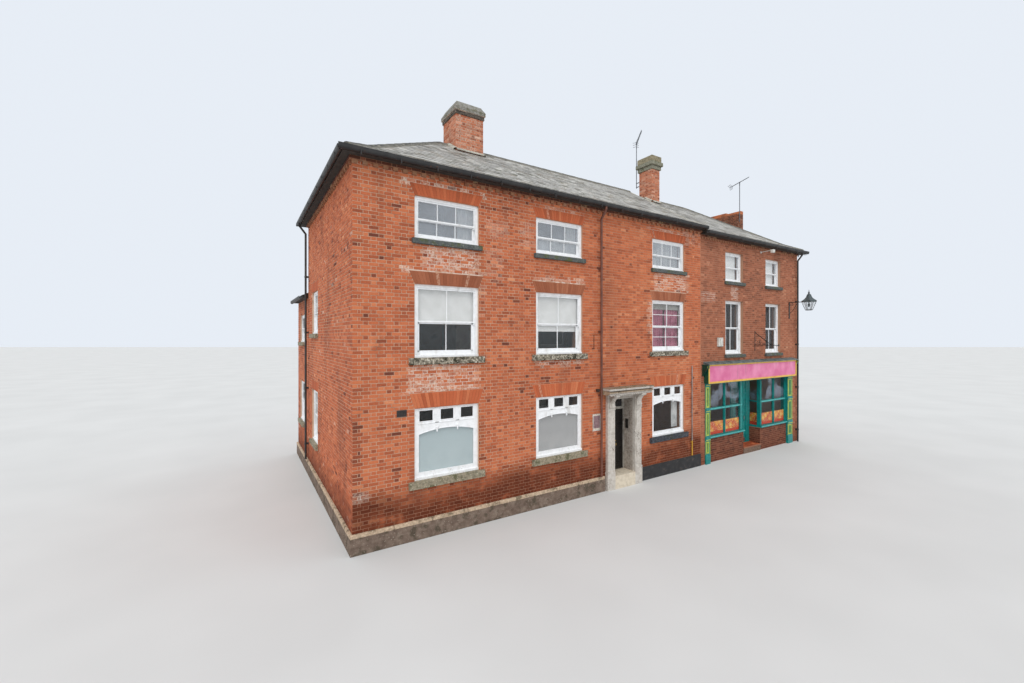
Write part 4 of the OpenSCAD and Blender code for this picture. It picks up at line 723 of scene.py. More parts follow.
# Window joinery
# Softwood box frames and sashes under many coats of white oil paint, cracked and dirty on the sills and
# rails. The ground floor frames are fixed: a big light with a curved head under three small ones.


def paintwork(name, clean, worn, dirt, roughness=0.5, bare=0.66):
    mat = finish(name, roughness, Specular_IOR_Level=0.4)
    colour = steps(mat, grain(mat, 0.08, 5), [(0.35, worn), (0.6, clean)])
    runs = band(mat, grain(mat, 0.22, 5, (1, 1, 0.2)), 0.55, 0.75)
    colour = over(mat, times(mat, runs, 0.5), colour, dirt)
    flakes = times(mat, band(mat, grain(mat, 0.018, 5, (1, 1, 0.5)), bare - 0.08, bare - 0.04),
        band(mat, grain(mat, 0.4, 3), bare - 0.12, bare))
    colour = over(mat, flakes, colour, dirt)
    return coat(mat, colour, sums(mat, "SUBTRACT", grain(mat, 0.01, 4), flakes), 0.0012)


white_paint = paintwork("white_paint", (247, 248, 250), (236, 237, 238), (176, 170, 160), bare=0.68)
dress(white_paint, "ground_window_frames", "front_sashes", "side_and_rear_sashes")


def place_bars(name, windows, reveal, wall=None):
    """Glazing bars of the sashes: middle, sill, width, height, meeting rail, panes across and up."""
    blocks = []
    for x, sill, width, height, rail, across, up in windows:
        wide = width - 0.22
        for low, high, y in ((sill + 0.14, sill + rail - 0.018, reveal + 0.066),
                (sill + rail + 0.018, sill + height - 0.11, reveal + 0.026)):
            for i in range(1, across):
                at = x - wide / 2 + wide * i / across
                blocks.append(((at - 0.010, y, low - 0.004), (at + 0.010, y + 0.030, high + 0.004)))
            for j in range(1, up):
                at = low + (high - low) * j / up
                blocks.append(((x - wide / 2 - 0.004, y + 0.001, at - 0.010),
                    (x + wide / 2 + 0.004, y + 0.029, at + 0.010)))
        inner = reveal + 0.062
        thick = 0.042 if height > 1.2 else 0.020
        blocks.append(((x - wide / 2 - 0.01, inner, sill + rail - 0.014 - thick),
            (x + wide / 2 + 0.01, inner + 0.03, sill + rail - 0.014)))
        blocks.append(((x - wide / 2 - 0.01, inner, sill + 0.13),
            (x + wide / 2 + 0.01, inner + 0.03, sill + 0.126 + thick)))
        for side in (-1, 1):
            a, b = sorted((x + side * (wide / 2 - thick), x + side * (wide / 2 + 0.01)))
            blocks.append(((a, inner, sill + 0.13), (b, inner + 0.03, sill + rail - 0.014)))
            foot = x + side * (wide / 2 + 0.022)
            blocks.append(((foot - 0.018, reveal + 0.022, sill + rail - 0.075),
                (foot + 0.018, reveal + 0.058, sill + rail - 0.014)))
            edge = x + side * (width / 2 - 0.068)
            blocks.append(((edge - 0.008, reveal - 0.006, sill + 0.066),
                (edge + 0.008, reveal + 0.018, sill + height - 0.064)))
        blocks.append(((x - width / 2 + 0.066, reveal - 0.006, sill + height - 0.072),
            (x + width / 2 - 0.066, reveal + 0.018, sill + height - 0.056)))
        blocks.append(((x - width / 2 - 0.004, reveal - 0.032, sill + 0.002),
            (x + width / 2 + 0.004, reveal + 0.03, sill + 0.052)))
    return turn_onto(wall, eased(name, blocks, 0.0045, white_paint))


place_bars("front_sash_bars", [(x, 4.17, WIN_W, 1.71, 0.85, 2, 1) for x in BAYS[:2]]
    + [(BAYS[2], 4.17, WIN_W, 1.71, 0.85, 2, 2)] + [(x, 6.92, WIN_W, 1.0, 0.48, 3, 1) for x in BAYS], 0.05)
place_bars("shop_sash_bars", [(x, 3.98, SHOP_W, 2.07, 1.035, 2, 1) for x in SHOP_BAYS]
    + [(x, 6.78, SHOP_W, 1.14, 0.57, 1, 1) for x in SHOP_BAYS], 0.10)
place_bars("side_sash_bars", [(5.3, 1.33, 1.2, 1.64, 0.82, 2, 2), (5.3, 4.75, 1.2, 1.35, 0.675, 2, 2),
    (8.4, 1.5, 1.3, 1.5, 0.75, 2, 2), (8.4, 4.46, 1.3, 1.02, 0.51, 2, 1)], 0.05, ONTO_SIDE)
place_bars("rear_sash_bars", [(x, z, WIN_W, h, rail, panes, 1) for x in BAYS[1:]
    for z, h, rail, panes in ((1.33, 1.67, 0.835, 2), (4.17, 1.71, 0.85, 2), (6.92, 1.0, 0.48, 3))], 0.05,
    ONTO_BACK)
place_bars("yard_sash_bars", [(x, z, SHOP_W, h, h / 2, 2, 1) for x in SHOP_BAYS
    for z, h in ((1.33, 1.67), (3.98, 2.07), (6.78, 1.14))], 0.10, ONTO_BACK)

# Curved heads and drops of the ground floor windows
# A bead follows the curve of each big light, and a small turned drop hangs at the foot of each post.


def outwards():
    """Turns every face of the active piece outwards and leaves edit mode."""
    edit_all()
    bpy.ops.mesh.normals_make_consistent(inside=False)
    mode("OBJECT")


def rod(name, points, thick, mat, slot=None, closed=False, sides=2):
    """A round bar bent along points and made a mesh. Without a slot it is a part of another piece."""
    line = begin(name, bpy.ops.curve.primitive_nurbs_path_add)
    line.data.splines.clear()
    spline = line.data.splines.new("POLY")
    spline.points.add(len(points) - 1)
    for point, spot in zip(spline.points, points):
        point.co = (*spot, 1)
    spline.use_cyclic_u = closed
    line.data.bevel_depth = thick
    line.data.bevel_resolution = sides
    line.data.use_fill_caps = True
    bpy.ops.object.convert(target="MESH")
    piece = bpy.context.object
    piece.name = name
    piece.data.name = name
    bpy.ops.object.transform_apply()
    outwards()
    bpy.ops.object.shade_smooth_by_angle(angle=radians(40))
    piece.data.materials.clear()
    piece.data.materials.append(mat)
    return settle(piece) if slot else piece


def raised(name, centre, profile, mat, sides):
    """Rings with a radius at each height, each raised from the last."""
    x, y, base = centre
    radius, height = profile[0]
    piece = begin(name, bpy.ops.mesh.primitive_circle_add, vertices=sides, radius=radius, fill_type="NGON",
        location=(x, y, base + height))
    bpy.ops.object.transform_apply()
    edit_all()
    for wide, high in profile[1:]:
        bpy.ops.mesh.extrude_region_move(TRANSFORM_OT_translate={"value": (0, 0, high - height)})
        bpy.ops.transform.resize(value=(wide / radius, wide / radius, 1),
            center_override=(x, y, base + high))
        radius, height = wide, high
    outwards()
    piece.data.materials.append(mat)
    return piece


def turned(name, centre, profile, mat, sides):
    piece = raised(name, centre, profile, mat, sides)
    bpy.ops.object.shade_smooth_by_angle(angle=radians(35))
    return piece


def one_piece(name, parts, body="building"):
    """Joins parts in the first of them."""
    bpy.ops.object.select_all(action="DESELECT")
    for part in parts:
        part.select_set(True)
    bpy.context.view_layer.objects.active = parts[0]
    bpy.ops.object.join()
    parts[0].name = name
    parts[0].data.name = name
    return settle(parts[0], body)


HEAD_R = (0.71 ** 2 + 0.10 ** 2) / 0.20
parts = []
for x in BAYS:
    crown = 1.33 + 1.15
    curve = []
    for i in range(17):
        lean = asin(0.70 / HEAD_R) * (i / 8 - 1)
        curve.append((x + HEAD_R * sin(lean), 0.046, crown + 0.012 - HEAD_R * (1 - cos(lean))))
    parts.append(rod("bead", curve, 0.009, white_paint, sides=1))
    for side in (-1, 1):
        post = x + side * 0.265
        parts.append(turned("drop", (post, 0.034, crown - 0.075),
            [(0.004, 0), (0.016, 0.012), (0.021, 0.03), (0.012, 0.048), (0.02, 0.056), (0.02, 0.066),
            (0.013, 0.074), (0.026, 0.1), (0.026, 0.125)], white_paint, 10))
one_piece("window_drops", parts)
blocks = []
for x in BAYS:
    blocks.append(((x - 0.835, 0.018, 1.334), (x + 0.835, 0.08, 1.40)))
    blocks.append(((x - 0.72, 0.036, 2.62), (x + 0.72, 0.056, 2.645)))
    for post in (-0.265, 0.265):
        blocks.append(((x + post - 0.052, 0.036, 2.50), (x + post + 0.052, 0.056, 2.985)))
    for low in (-0.71, -0.18, 0.35):
        for edge in (low, low + 0.35):
            blocks.append(((x + edge - 0.012, 0.044, 2.67), (x + edge + 0.012, 0.062, 2.955)))
        for edge in (2.678, 2.945):
            blocks.append(((x + low - 0.002, 0.043, edge - 0.012), (x + low + 0.362, 0.061, edge + 0.012)))
eased("ground_frame_beads", blocks, 0.004, white_paint)

# Glass
# Old drawn window glass, a little wavy and dusty, in front of dark rooms. The two left ground floor
# lights have a pale frosted film on their inner face. The pale blue-grey on the house's top floor panes
# and in soft patches on the shop's upper panes is painted sky reflection.
glass = finish("window_glass", 0.03, IOR=2.4)
east, up = east_and_up(glass)
# Painted reflection: the house's top floor panes are made less clear so that a painted sky reflection
# shows, and so are soft patches on the shop's upper panes.
sky_reflection_panes = times(glass, band(glass, up, 6.4, 6.8), band(glass, east, 12.2, 12.1))
clear = sums(glass, "ADD", times(glass, sky_reflection_panes, 0.23), 0.11)
shop_side = times(glass, band(glass, east, 12.2, 12.3), band(glass, up, 3.4, 3.3))
high_panes = times(glass, shop_side, band(glass, up, 1.75, 2.35))
reflection_patches = times(glass, high_panes, band(glass, grain(glass, 0.55, 2), 0.46, 0.56))
clear = sums(glass, "ADD", clear, times(glass, reflection_patches, 0.25))
glass.node_tree.links.new(clear, glass.node_tree.nodes["Principled BSDF"].inputs["Alpha"])
# The panes' own tone is dark low down and blue-grey from the first floor up; the pale blue-grey above 6.4
# m on the house, and the blue patches on the shop's upper panes, are painted reflections.
pane_tone_and_reflection = over(glass, band(glass, up, 3.5, 3.9), (44, 48, 50), (120, 130, 136))
pane_tone_and_reflection = over(glass, band(glass, up, 6.4, 6.8), pane_tone_and_reflection, (206, 214, 224))
pane_tone_and_reflection = over(glass, reflection_patches, pane_tone_and_reflection, (150, 166, 190))
coat(glass, over(glass, times(glass, grain(glass, 0.5, 3), 0.5), pane_tone_and_reflection, (90, 96, 100)),
    grain(glass, 0.7, 1), 0.004)
dress(glass, "window_glass", "shop_window_glass", "shop_door_glass")


def film_finish(name, pale, deep):
    mat = finish(name, 0.75, Specular_IOR_Level=0.3)
    up = east_and_up(mat)[1]
    fall = over(mat, band(mat, up, 1.4, 2.5), pale, deep)
    return coat(mat, over(mat, band(mat, grain(mat, 0.3, 4), 0.4, 0.7), fall, deep), grain(mat, 0.006, 3),
        0.0006)


def applied(piece, kind, **settings):
    """Adds a modifier to a piece, sets it and applies it."""
    bpy.context.view_layer.objects.active = piece
    made = piece.modifiers.new("made", kind)
    for key, value in settings.items():
        setattr(made, key, value)
    bpy.ops.object.modifier_apply(modifier="made")


for x, name, pale, deep in ((BAYS[0], "frosted_film_west", (212, 227, 229), (203, 219, 222)),
        (BAYS[1], "frosted_film_middle", (202, 202, 201), (190, 190, 190))):
    mat = film_finish(name, pale, deep)
    film = begin(name, bpy.ops.mesh.primitive_grid_add, x_subdivisions=18, y_subdivisions=1, size=1,
        location=(x, 0.100, 1.985), rotation=(radians(90), 0, 0))
    film.scale = (1.45, 1.0, 1)
    bpy.ops.object.transform_apply()
    for corner in film.data.vertices:
        lean = asin(min(abs(corner.co.x - x), 0.72) / HEAD_R)
        head = 2.495 - HEAD_R * (1 - cos(lean))
        corner.co.z = head if corner.co.z > 1.985 else 1.49
    applied(film, "SOLIDIFY", thickness=0.001)
    film.data.materials.append(mat)
    settle(film)

# Blinds
# Plain white roller blinds of woven cloth on a wooden roller, with a hem bar in the bottom, let down
# halfway in the first floor windows, and more in the shop's top windows.


def cloth(name, pale, deep):
    mat = finish(name, 0.85, Specular_IOR_Level=0.15, Sheen_Weight=0.15)
    colour = steps(mat, grain(mat, 0.25, 4), [(0.35, deep), (0.65, pale)])
    threads = grain(mat, 0.008, 2, (1, 1, 0.3))
    return coat(mat, over(mat, times(mat, threads, 0.25), colour, deep), threads, 0.0006)


blind_cloth = cloth("blind_cloth", (250, 250, 248), (238, 238, 235))
grey_blind = cloth("grey_blind_cloth", (178, 176, 170), (160, 158, 152))


def hang(name, low, high, y, mat, folds=0, deep=0.0, replaces=None, wall=None):
    """A sheet of cloth hung between two corners, with its folds worked in as vertex moves."""
    wide, tall = high[0] - low[0], high[1] - low[1]
    piece = begin(name, bpy.ops.mesh.primitive_grid_add, x_subdivisions=max(12, folds * 12),
        y_subdivisions=14, size=1, location=((low[0] + high[0]) / 2, y, (low[1] + high[1]) / 2),
        rotation=(radians(90), 0, 0))
    piece.scale = (wide, tall, 1)
    bpy.ops.object.transform_apply()
    for corner in piece.data.vertices:
        share = (corner.co.x - low[0]) / wide
        drop = (high[1] - corner.co.z) / tall
        if folds:
            wave = sin(share * folds * 2 * pi + 0.7 * sin(share * 9 + drop * 2))
            corner.co.y += deep * wave * (0.65 + 0.35 * drop) + 0.25 * deep * sin(share * 23 + drop * 5)
        else:
            corner.co.y += 0.003 * sin(share * pi) * drop
    bpy.ops.object.shade_smooth()
    piece.data.materials.append(mat)
    turn_onto(wall, piece, flip=False)
    area = sum(face.area for face in piece.data.polygons)
    settle(piece)
    if replaces:
        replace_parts(piece, replaces)
    return piece, area / tall


def blind(name, x, width, foot, head, y, mat=blind_cloth, replaces=None, wall=None):
    left, right = x - width / 2, x + width / 2
    piece, flat = hang(name, (left, foot), (right, head), y, mat, replaces=replaces, wall=wall)
    bar = eased(name + "_hem_bar", [((left, y - 0.004, foot - 0.012), (right, y + 0.005, foot + 0.016))],
        0.003, mat)
    roll = rod(name + "_roller", [(left, y + 0.016, head + 0.004), (right, y + 0.016, head + 0.004)],
        0.014, mat, "blind_cloth")
    for part in (bar, roll):
        turn_onto(wall, part)


blind("first_blind_west", BAYS[0], 1.50, 5.03, 5.79, 0.170, replaces="blinds")
blind("first_blind_middle", BAYS[1], 1.50, 4.82, 5.79, 0.170)
blind("third_blind", BAYS[2], 1.50, 5.60, 5.79, 0.170, grey_blind)
blind("shop_top_blind_west", SHOP_BAYS[0] - 0.05, 0.98, 6.88, 7.83, 0.245)
blind("shop_top_blind_east", SHOP_BAYS[1] - 0.05, 0.96, 6.88, 7.83, 0.245)
blind("side_blind_low", 5.3, 1.05, 1.42, 2.88, 0.170, wall=ONTO_SIDE)
blind("side_blind_high", 5.3, 1.05, 4.84, 6.01, 0.170, wall=ONTO_SIDE)
for x, place_name in zip(BAYS[1:], ("middle", "east")):
    blind("rear_ground_blind_" + place_name, x, 1.46, 1.49, 2.88, 0.170, grey_blind, wall=ONTO_BACK)
    blind("rear_first_blind_" + place_name, x, 1.46, 4.33, 5.77, 0.170, grey_blind, wall=ONTO_BACK)

# Curtains
# Light cotton curtains gathered on a rail behind the third first floor window, in faded pink, and thin
# white ones behind the top windows.
pink_cloth = cloth("pink_curtain_cloth", (206, 134, 154), (150, 78, 100))
net_cloth = cloth("white_curtain_cloth", (232, 232, 230), (190, 192, 192))
for name, x0, x1, foot, head, y, mat, folds, stands in (
        ("pink_curtain_left", 9.60, 10.28, 4.24, 5.80, 0.218, pink_cloth, 7, "curtains"),
        ("pink_curtain_right", 10.36, 11.06, 4.24, 5.80, 0.218, pink_cloth, 7, None),
        ("top_curtain_west", 2.55, 2.98, 6.98, 7.86, 0.218, net_cloth, 4, None),
        ("top_curtain_middle", 4.90, 6.34, 6.98, 7.42, 0.218, net_cloth, 10, None),
        ("top_curtain_middle_side", 6.02, 6.38, 7.0, 7.86, 0.235, net_cloth, 4, None),
        ("top_curtain_east", 9.62, 11.04, 6.98, 7.84, 0.218, net_cloth, 10, None),
        ("ground_curtain_east", 10.72, 11.02, 1.52, 2.42, 0.200, net_cloth, 3, None),
        ("shop_curtain_west", 13.75, 14.14, 4.08, 6.0, 0.275, net_cloth, 4, None),
        ("shop_curtain_east", 16.62, 16.98, 4.08, 6.0, 0.275, net_cloth, 4, None)):
    rail = rod(name + "_rail", [(x0 - 0.02, y, head), (x1 + 0.02, y, head)], 0.008, white_paint,
        "white_paint")
    piece, flat = hang(name, (x0, foot), (x1, head), y, mat, folds, 0.016, stands)

# Front doorcase
# A painted doorcase of wood and stucco: panelled pilasters on plain blocks, scrolled consoles under the
# hood and a bare frieze. The off-white paint is cracked all over and grey with soot under the hood.
doorcase_paint = paintwork("doorcase_paint", (208, 202, 194), (190, 182, 172), (112, 98, 84), 0.6, 0.64)
dress(doorcase_paint, "doorcase")
blocks = []
for low in (7.38, 8.56):
    blocks.append(((low - 0.006, -0.112, 0.402), (low + 0.306, -0.085, 0.545)))
    for edge in (low + 0.04, low + 0.235):
        blocks.append(((edge, -0.112, 0.64), (edge + 0.025, -0.096, 2.40)))
    for edge in (0.64, 2.375):
        blocks.append(((low + 0.0395, -0.1115, edge), (low + 0.2605, -0.0955, edge + 0.025)))
    blocks.append(((low - 0.008, -0.122, 2.425), (low + 0.308, -0.088, 2.45)))
    blocks.append(((low - 0.004, -0.114, 2.45), (low + 0.304, -0.088, 2.485)))
blocks.append(((7.70, -0.112, 2.752), (8.54, -0.085, 2.772)))
blocks.append(((7.70, -0.118, 2.895), (8.54, -0.085, 2.918)))
eased("doorcase_mouldings", blocks, 0.005, doorcase_paint)


def console(name, x, wide):
    """A scrolled bracket cut from board: a side outline given its width, and a narrower one on it."""
    outline = [(-0.10, 2.49), (-0.115, 2.50), (-0.135, 2.515), (-0.148, 2.54), (-0.15, 2.57),
        (-0.143, 2.60), (-0.15, 2.64), (-0.168, 2.69), (-0.195, 2.74), (-0.235, 2.785), (-0.285, 2.82),
        (-0.325, 2.835), (-0.345, 2.86), (-0.345, 2.90), (-0.335, 2.918), (-0.10, 2.918)]
    parts = []
    for low, high, grow in ((x - wide / 2, x + wide / 2, 0.0), (x - wide / 4, x + wide / 4, 0.016)):
        part = begin("board", bpy.ops.mesh.primitive_circle_add, vertices=len(outline), radius=0.1,
            fill_type="NGON")
        for corner, (y, z) in zip(part.data.vertices, outline):
            corner.co = (low, y - (grow if y < -0.101 else 0), z)
        edit_all()
        bpy.ops.mesh.extrude_region_move(TRANSFORM_OT_translate={"value": (high - low, 0, 0)})
        outwards()
        applied(part, "BEVEL", width=0.006, segments=2, limit_method="ANGLE", angle_limit=radians(50))
        bpy.ops.object.shade_smooth_by_angle(angle=radians(40))
        part.data.materials.append(doorcase_paint)
        parts.append(part)
    for y, z, r in ((-0.315, 2.865, 0.028), (-0.128, 2.545, 0.016)):
        parts.append(rod("scroll", [(x - wide / 2 - 0.008, y, z), (x + wide / 2 + 0.008, y, z)], r,
            doorcase_paint, sides=5))
    return one_piece(name, parts)


console("console_left", 7.53, 0.20)
console("console_right", 8.71, 0.20)

# Hood
# A flat hood of moulded boards on the consoles, covered with lead on top and gone brown, with moss along
# its edge. The bed mould below steps in, and a small cornice mould runs along the edge.
hood_paint = paintwork("hood_paint", (168, 148, 126), (142, 121, 97), (90, 75, 55), 0.72, 0.58)
dress(hood_paint, "door_hood")
blocks = []
for low_z, high_z, out in ((3.078, 3.112, 0.412), (3.05, 3.078, 0.405), (2.965, 2.985, 0.398),
        (2.925, 2.95, 0.385)):
    grow = out - 0.40
    blocks.append(((7.17 - grow, -out, low_z), (9.07 + grow, -out + 0.03, high_z)))
    for x0, x1 in ((7.17 - grow, 7.20 - grow), (9.04 + grow, 9.07 + grow)):
        blocks.append(((x0 - 0.001, -out + 0.001, low_z + 0.001), (x1 + 0.001, -0.002, high_z - 0.001)))
for i in range(19):
    x = 7.26 + i * 0.0955
    blocks.append(((x, -0.37, 2.893), (x + 0.045, -0.31, 2.925)))
eased("hood_mouldings", blocks, 0.004, doorcase_paint)
hood_lead = mottled("hood_lead", 0.7, (0.12, 5), [(0.3, (116, 99, 82)), (0.6, (150, 132, 112))], (0.05, 4),
    0.004)
eased("hood_cover", [((7.15, -0.42, 3.112), (9.09, 0.0, 3.124))], 0.004, hood_lead)
moss = mottled("moss", 0.95, (0.02, 4), [(0.3, (58, 60, 30)), (0.6, (98, 98, 52))], (0.006, 4), 0.006,
    Specular_IOR_Level=0.05)
tufts = []
for i in range(46):
    x = 7.18 + 1.88 * chance.random()
    size = chance.uniform(0.008, 0.024)
    y = chance.choice((-0.408, -0.405, -0.39, -0.2, -0.1)) + chance.uniform(-0.01, 0.01)
    tuft = begin("tuft", bpy.ops.mesh.primitive_ico_sphere_add, subdivisions=2, radius=size,
        location=(x, y, 3.122))
    tuft.scale = (chance.uniform(0.9, 1.6), 1, 0.55)
    bpy.ops.object.transform_apply()
    for corner in tuft.data.vertices:
        corner.co.x += chance.uniform(-0.12, 0.12) * size
        corner.co.z += chance.uniform(-0.12, 0.12) * size
    bpy.ops.object.shade_smooth()
    tuft.data.materials.append(moss)
    tufts.append(tuft)
one_piece("hood_moss", tufts)

# Doorstep and linings
# A cream-painted stone step, worn and dirty, and panelled wooden linings between doorcase and frame.
step_paint = paintwork("step_paint", (222, 210, 190), (206, 193, 172), (172, 156, 134), 0.6, 0.70)
dress(step_paint, "door_step")
lining_paint = paintwork("lining_paint", (186, 176, 166), (152, 141, 130), (92, 78, 66), 0.6, 0.62)
dress(lining_paint, "door_linings")
frame_paint = paintwork("frame_paint", (176, 172, 164), (146, 140, 130), (74, 64, 54), 0.5, 0.62)
dress(frame_paint, "front_door_frame")
# The fanlight is a thin opaque glossy pane; its dark colour is painted shade of the unlit hall behind the
# glass.
fanlight_shade_pane = mottled("fanlight_glass_and_shade", 0.06, (0.2, 4), [(0.35, (34, 36, 38)), (0.7, (62, 60, 64))],
    (0.5, 1), 0.003, IOR=1.6)
eased("fanlight_pane", [((7.774, 0.3715, 2.416), (8.466, 0.3755, 2.748))], 0.001, fanlight_shade_pane)
blocks = []
for wall, side in ((7.71, 1), (8.53, -1)):
    for foot in (0.46, 1.16, 1.86):
        for y0, y1, z0, z1 in ((0.06, 0.32, foot, foot + 0.014), (0.06, 0.32, foot + 0.556, foot + 0.57),
                (0.06, 0.074, foot - 0.001, foot + 0.571), (0.306, 0.32, foot - 0.001, foot + 0.571)):
            blocks.append(((wall - 0.004 if side > 0 else wall - 0.006, y0, z0),
                (wall + 0.006 if side > 0 else wall + 0.004, y1, z1)))
eased("lining_mouldings", blocks, 0.002, lining_paint)
plate = mottled("bare_plate", 0.45, (0.05, 4), [(0.3, (44, 42, 40)), (0.6, (74, 70, 64))], (0.02, 3),
    0.001, Metallic=0.6)
eased("lining_plate", [((8.506, 0.15, 1.73), (8.53, 0.26, 2.03))], 0.004, plate)

# Front door leaf
# A black-painted panelled leaf of softwood with mouldings let in round its six fields. It opens inwards.
door_black = paintwork("door_black_paint", (30, 28, 27), (24, 22, 21), (66, 58, 50), 0.3, 0.70)
dress(door_black, "front_door")


def beads(x0, x1, z0, z1, near, far, wide, inset=0.0):
    """Four beads round a field. The level ones stop half a millimetre short of the upright ones' sides."""
    short = 0.0005
    return [((x0, near, z0), (x0 + wide, far, z1)), ((x1 - wide, near, z0), (x1, far, z1)),
        ((x0 + short, near, z0 + inset), (x1 - short, far, z0 + inset + wide)),
        ((x0 + short, near, z1 - inset - wide), (x1 - short, far, z1 - inset))]


blocks = []
left, foot, face = 7.72, 0.41, 0.38
for low in (left + 0.095, left + 0.4475):
    high = low + 0.2575
    for z0, z1 in ((0.20, 0.72), (0.86, 1.38), (1.50, 1.83)):
        a, b = foot + z0, foot + z1
        blocks += beads(low - 0.004, high + 0.004, a - 0.004, b + 0.004, face - 0.007, face + 0.011, 0.020,
            0.0005)
        blocks.append(((low + 0.045, face + 0.004, a + 0.045), (high - 0.045, face + 0.0125, b - 0.045)))
eased("door_leaf_mouldings", blocks, 0.003, door_black, "front_door")
eased("door_weather_bar", [((7.735, 0.355, 0.425), (8.505, 0.381, 0.475))], 0.006, door_black,
    "front_door")
brass = mottled("old_brass", 0.34, (0.03, 4), [(0.35, (118, 96, 54)), (0.65, (186, 160, 104))], (0.004, 3),
    0.0004, Metallic=1.0)
dress(brass, "front_door_furniture")
parts = [rod("knocker_pin", [(8.12, 0.38, 1.862), (8.12, 0.345, 1.862)], 0.013, brass, sides=4),
    rod("knob_rim", [(8.12, 0.352, 1.35), (8.12, 0.346, 1.35)], 0.033, brass, sides=8)]
one_piece("door_knocker", parts, "front_door")
eased("letter_flap", [((8.02, 0.366, 1.202), (8.22, 0.374, 1.258))], 0.003, brass, "front_door")

# Shopfront
# A painted wooden shopfront between panelled pilasters: teal frames, lime panels with a dark green strip,
# and a bare pink fascia in a yellow border under lead. The two stallrisers are dark brick.
teal_paint = paintwork("teal_paint", (22, 140, 134), (14, 112, 112), (52, 74, 70), 0.34, 0.70)
teal_light = paintwork("pale_teal_paint", (84, 182, 178), (60, 156, 156), (78, 92, 88), 0.4, 0.68)
lime_paint = paintwork("lime_paint", (198, 206, 62), (178, 182, 52), (108, 100, 52), 0.38, 0.68)
deep_green = paintwork("deep_green_paint", (16, 66, 52), (12, 48, 40), (60, 60, 48), 0.36, 0.70)
leaf_green = paintwork("leaf_green_paint", (52, 128, 70), (38, 104, 60), (70, 80, 52), 0.36, 0.70)
dress(teal_paint, "shop_pilasters", "shop_window_frames", "shop_door_frame", "shop_door")
dress(deep_green, "fascia_brackets")
fronts = []
strips = []
for low, high in ((12.35, 12.62), (18.29, 18.68)):
    for z0, z1 in ((0.38, 0.82), (1.03, 1.87), (2.06, 2.82)):
        fronts.append(((low + 0.05, -0.036, z0 + 0.004), (high - 0.05, -0.030, z1 - 0.004)))
        middle = (low + high) / 2
        spare = (high - low) / 2 - 0.096
        strips.append(((middle - spare, -0.040, z0 + 0.05), (middle + spare, -0.0345, z1 - 0.05)))
    for z in (0.85, 1.90, 2.85):
        fronts.append(((low + 0.004, -0.064, z + 0.02), (high - 0.004, -0.058, z + 0.045)))
    for edge in (low - 0.003, high - 0.012):
        for z0, z1 in ((0.352, 0.848), (1.002, 1.898), (2.032, 2.848)):
            fronts.append(((edge, -0.046, z0), (edge + 0.015, -0.038, z1)))
eased("pilaster_panels", fronts, 0.002, lime_paint)
eased("pilaster_strips", strips, 0.002, leaf_green)
blocks = []
for low, high in ((12.62, 14.95), (16.20, 18.29)):
    blocks.append(((low - 0.012, -0.034, 0.925), (high + 0.012, -0.006, 0.965)))
    blocks.append(((low + 0.06, 0.046, 1.942), (high - 0.06, 0.062, 2.0)))
eased("shopfront_rails", blocks, 0.003, teal_light)
blocks = []
for low, mullion in ((12.62, 13.715), (16.20, 17.308)):
    blocks.append(((mullion - 0.018, 0.044, 0.985), (mullion + 0.018, 0.0615, 2.91)))
for low, high in ((12.68, 13.675), (13.755, 14.75), (16.30, 17.268), (17.348, 18.23)):
    for z0, z1 in ((0.984, 1.94), (2.004, 2.918)):
        blocks += beads(low, high, z0, z1, 0.074, 0.094, 0.016)
eased("shopfront_beads", blocks, 0.003, teal_paint)
posts = []
for edge in (14.745, 14.945):
    posts.append(((edge - 0.012, 0.040, 0.985), (edge + 0.006, 0.062, 2.915)))
for edge in (16.196, 16.296):
    posts.append(((edge - 0.006, 0.040, 0.985), (edge + 0.012, 0.062, 2.915)))
eased("lobby_post_beads", posts, 0.002, teal_paint)

# Fascia
# A long sign board with a raised border, its lettering left out: faded pink with a lighter middle, and
# paint worn along the drip edge. Dark green consoles close its ends.
mat = finish("fascia_pink", 0.42, Specular_IOR_Level=0.4)
east, up = east_and_up(mat)
edge_z = sums(mat, "ADD", band(mat, up, 3.58, 3.60), band(mat, up, 3.03, 3.01))
ends = sums(mat, "ADD", band(mat, east, 18.66, 18.675), band(mat, east, 12.37, 12.355))
pink = steps(mat, grain(mat, 0.5, 4), [(0.35, (216, 104, 150)), (0.65, (234, 140, 178))])
drip = band(mat, grain(mat, 0.15, 5, (1, 1, 0.2)), 0.56, 0.75)
pink = over(mat, times(mat, drip, 0.35), pink, (168, 110, 120))
yellow = steps(mat, grain(mat, 0.3, 4), [(0.35, (222, 172, 66)), (0.65, (242, 208, 88))])
edged = over(mat, edge_z, pink, yellow)
edged = over(mat, ends, edged, yellow)
outer = sums(mat, "ADD", band(mat, east, 18.727, 18.729), band(mat, east, 12.303, 12.301))
edged = over(mat, outer, edged, (20, 76, 58))
coat(mat, edged, grain(mat, 0.04, 3), 0.0008)
dress(mat, "shop_fascia")
border_yellow = paintwork("border_yellow", (232, 190, 76), (214, 156, 60), (120, 90, 56), 0.4, 0.7)
blocks = [((12.296, -0.197, 2.956), (18.734, -0.186, 2.972)),
    ((12.296, -0.197, 3.636), (18.734, -0.186, 3.654)), ((12.35, -0.194, 2.998), (18.68, -0.184, 3.016)),
    ((12.35, -0.194, 3.594), (18.68, -0.184, 3.612)), ((12.354, -0.1935, 3.0), (12.372, -0.1835, 3.61)),
    ((18.658, -0.1935, 3.0), (18.676, -0.1835, 3.61))]
eased("fascia_border", blocks, 0.003, border_yellow)
eased("fascia_soffit_mould", [((12.31, -0.17, 2.938), (18.72, -0.12, 2.962)),
    ((12.31, -0.10, 2.944), (18.72, -0.03, 2.962))], 0.004, teal_paint)
blocks = []
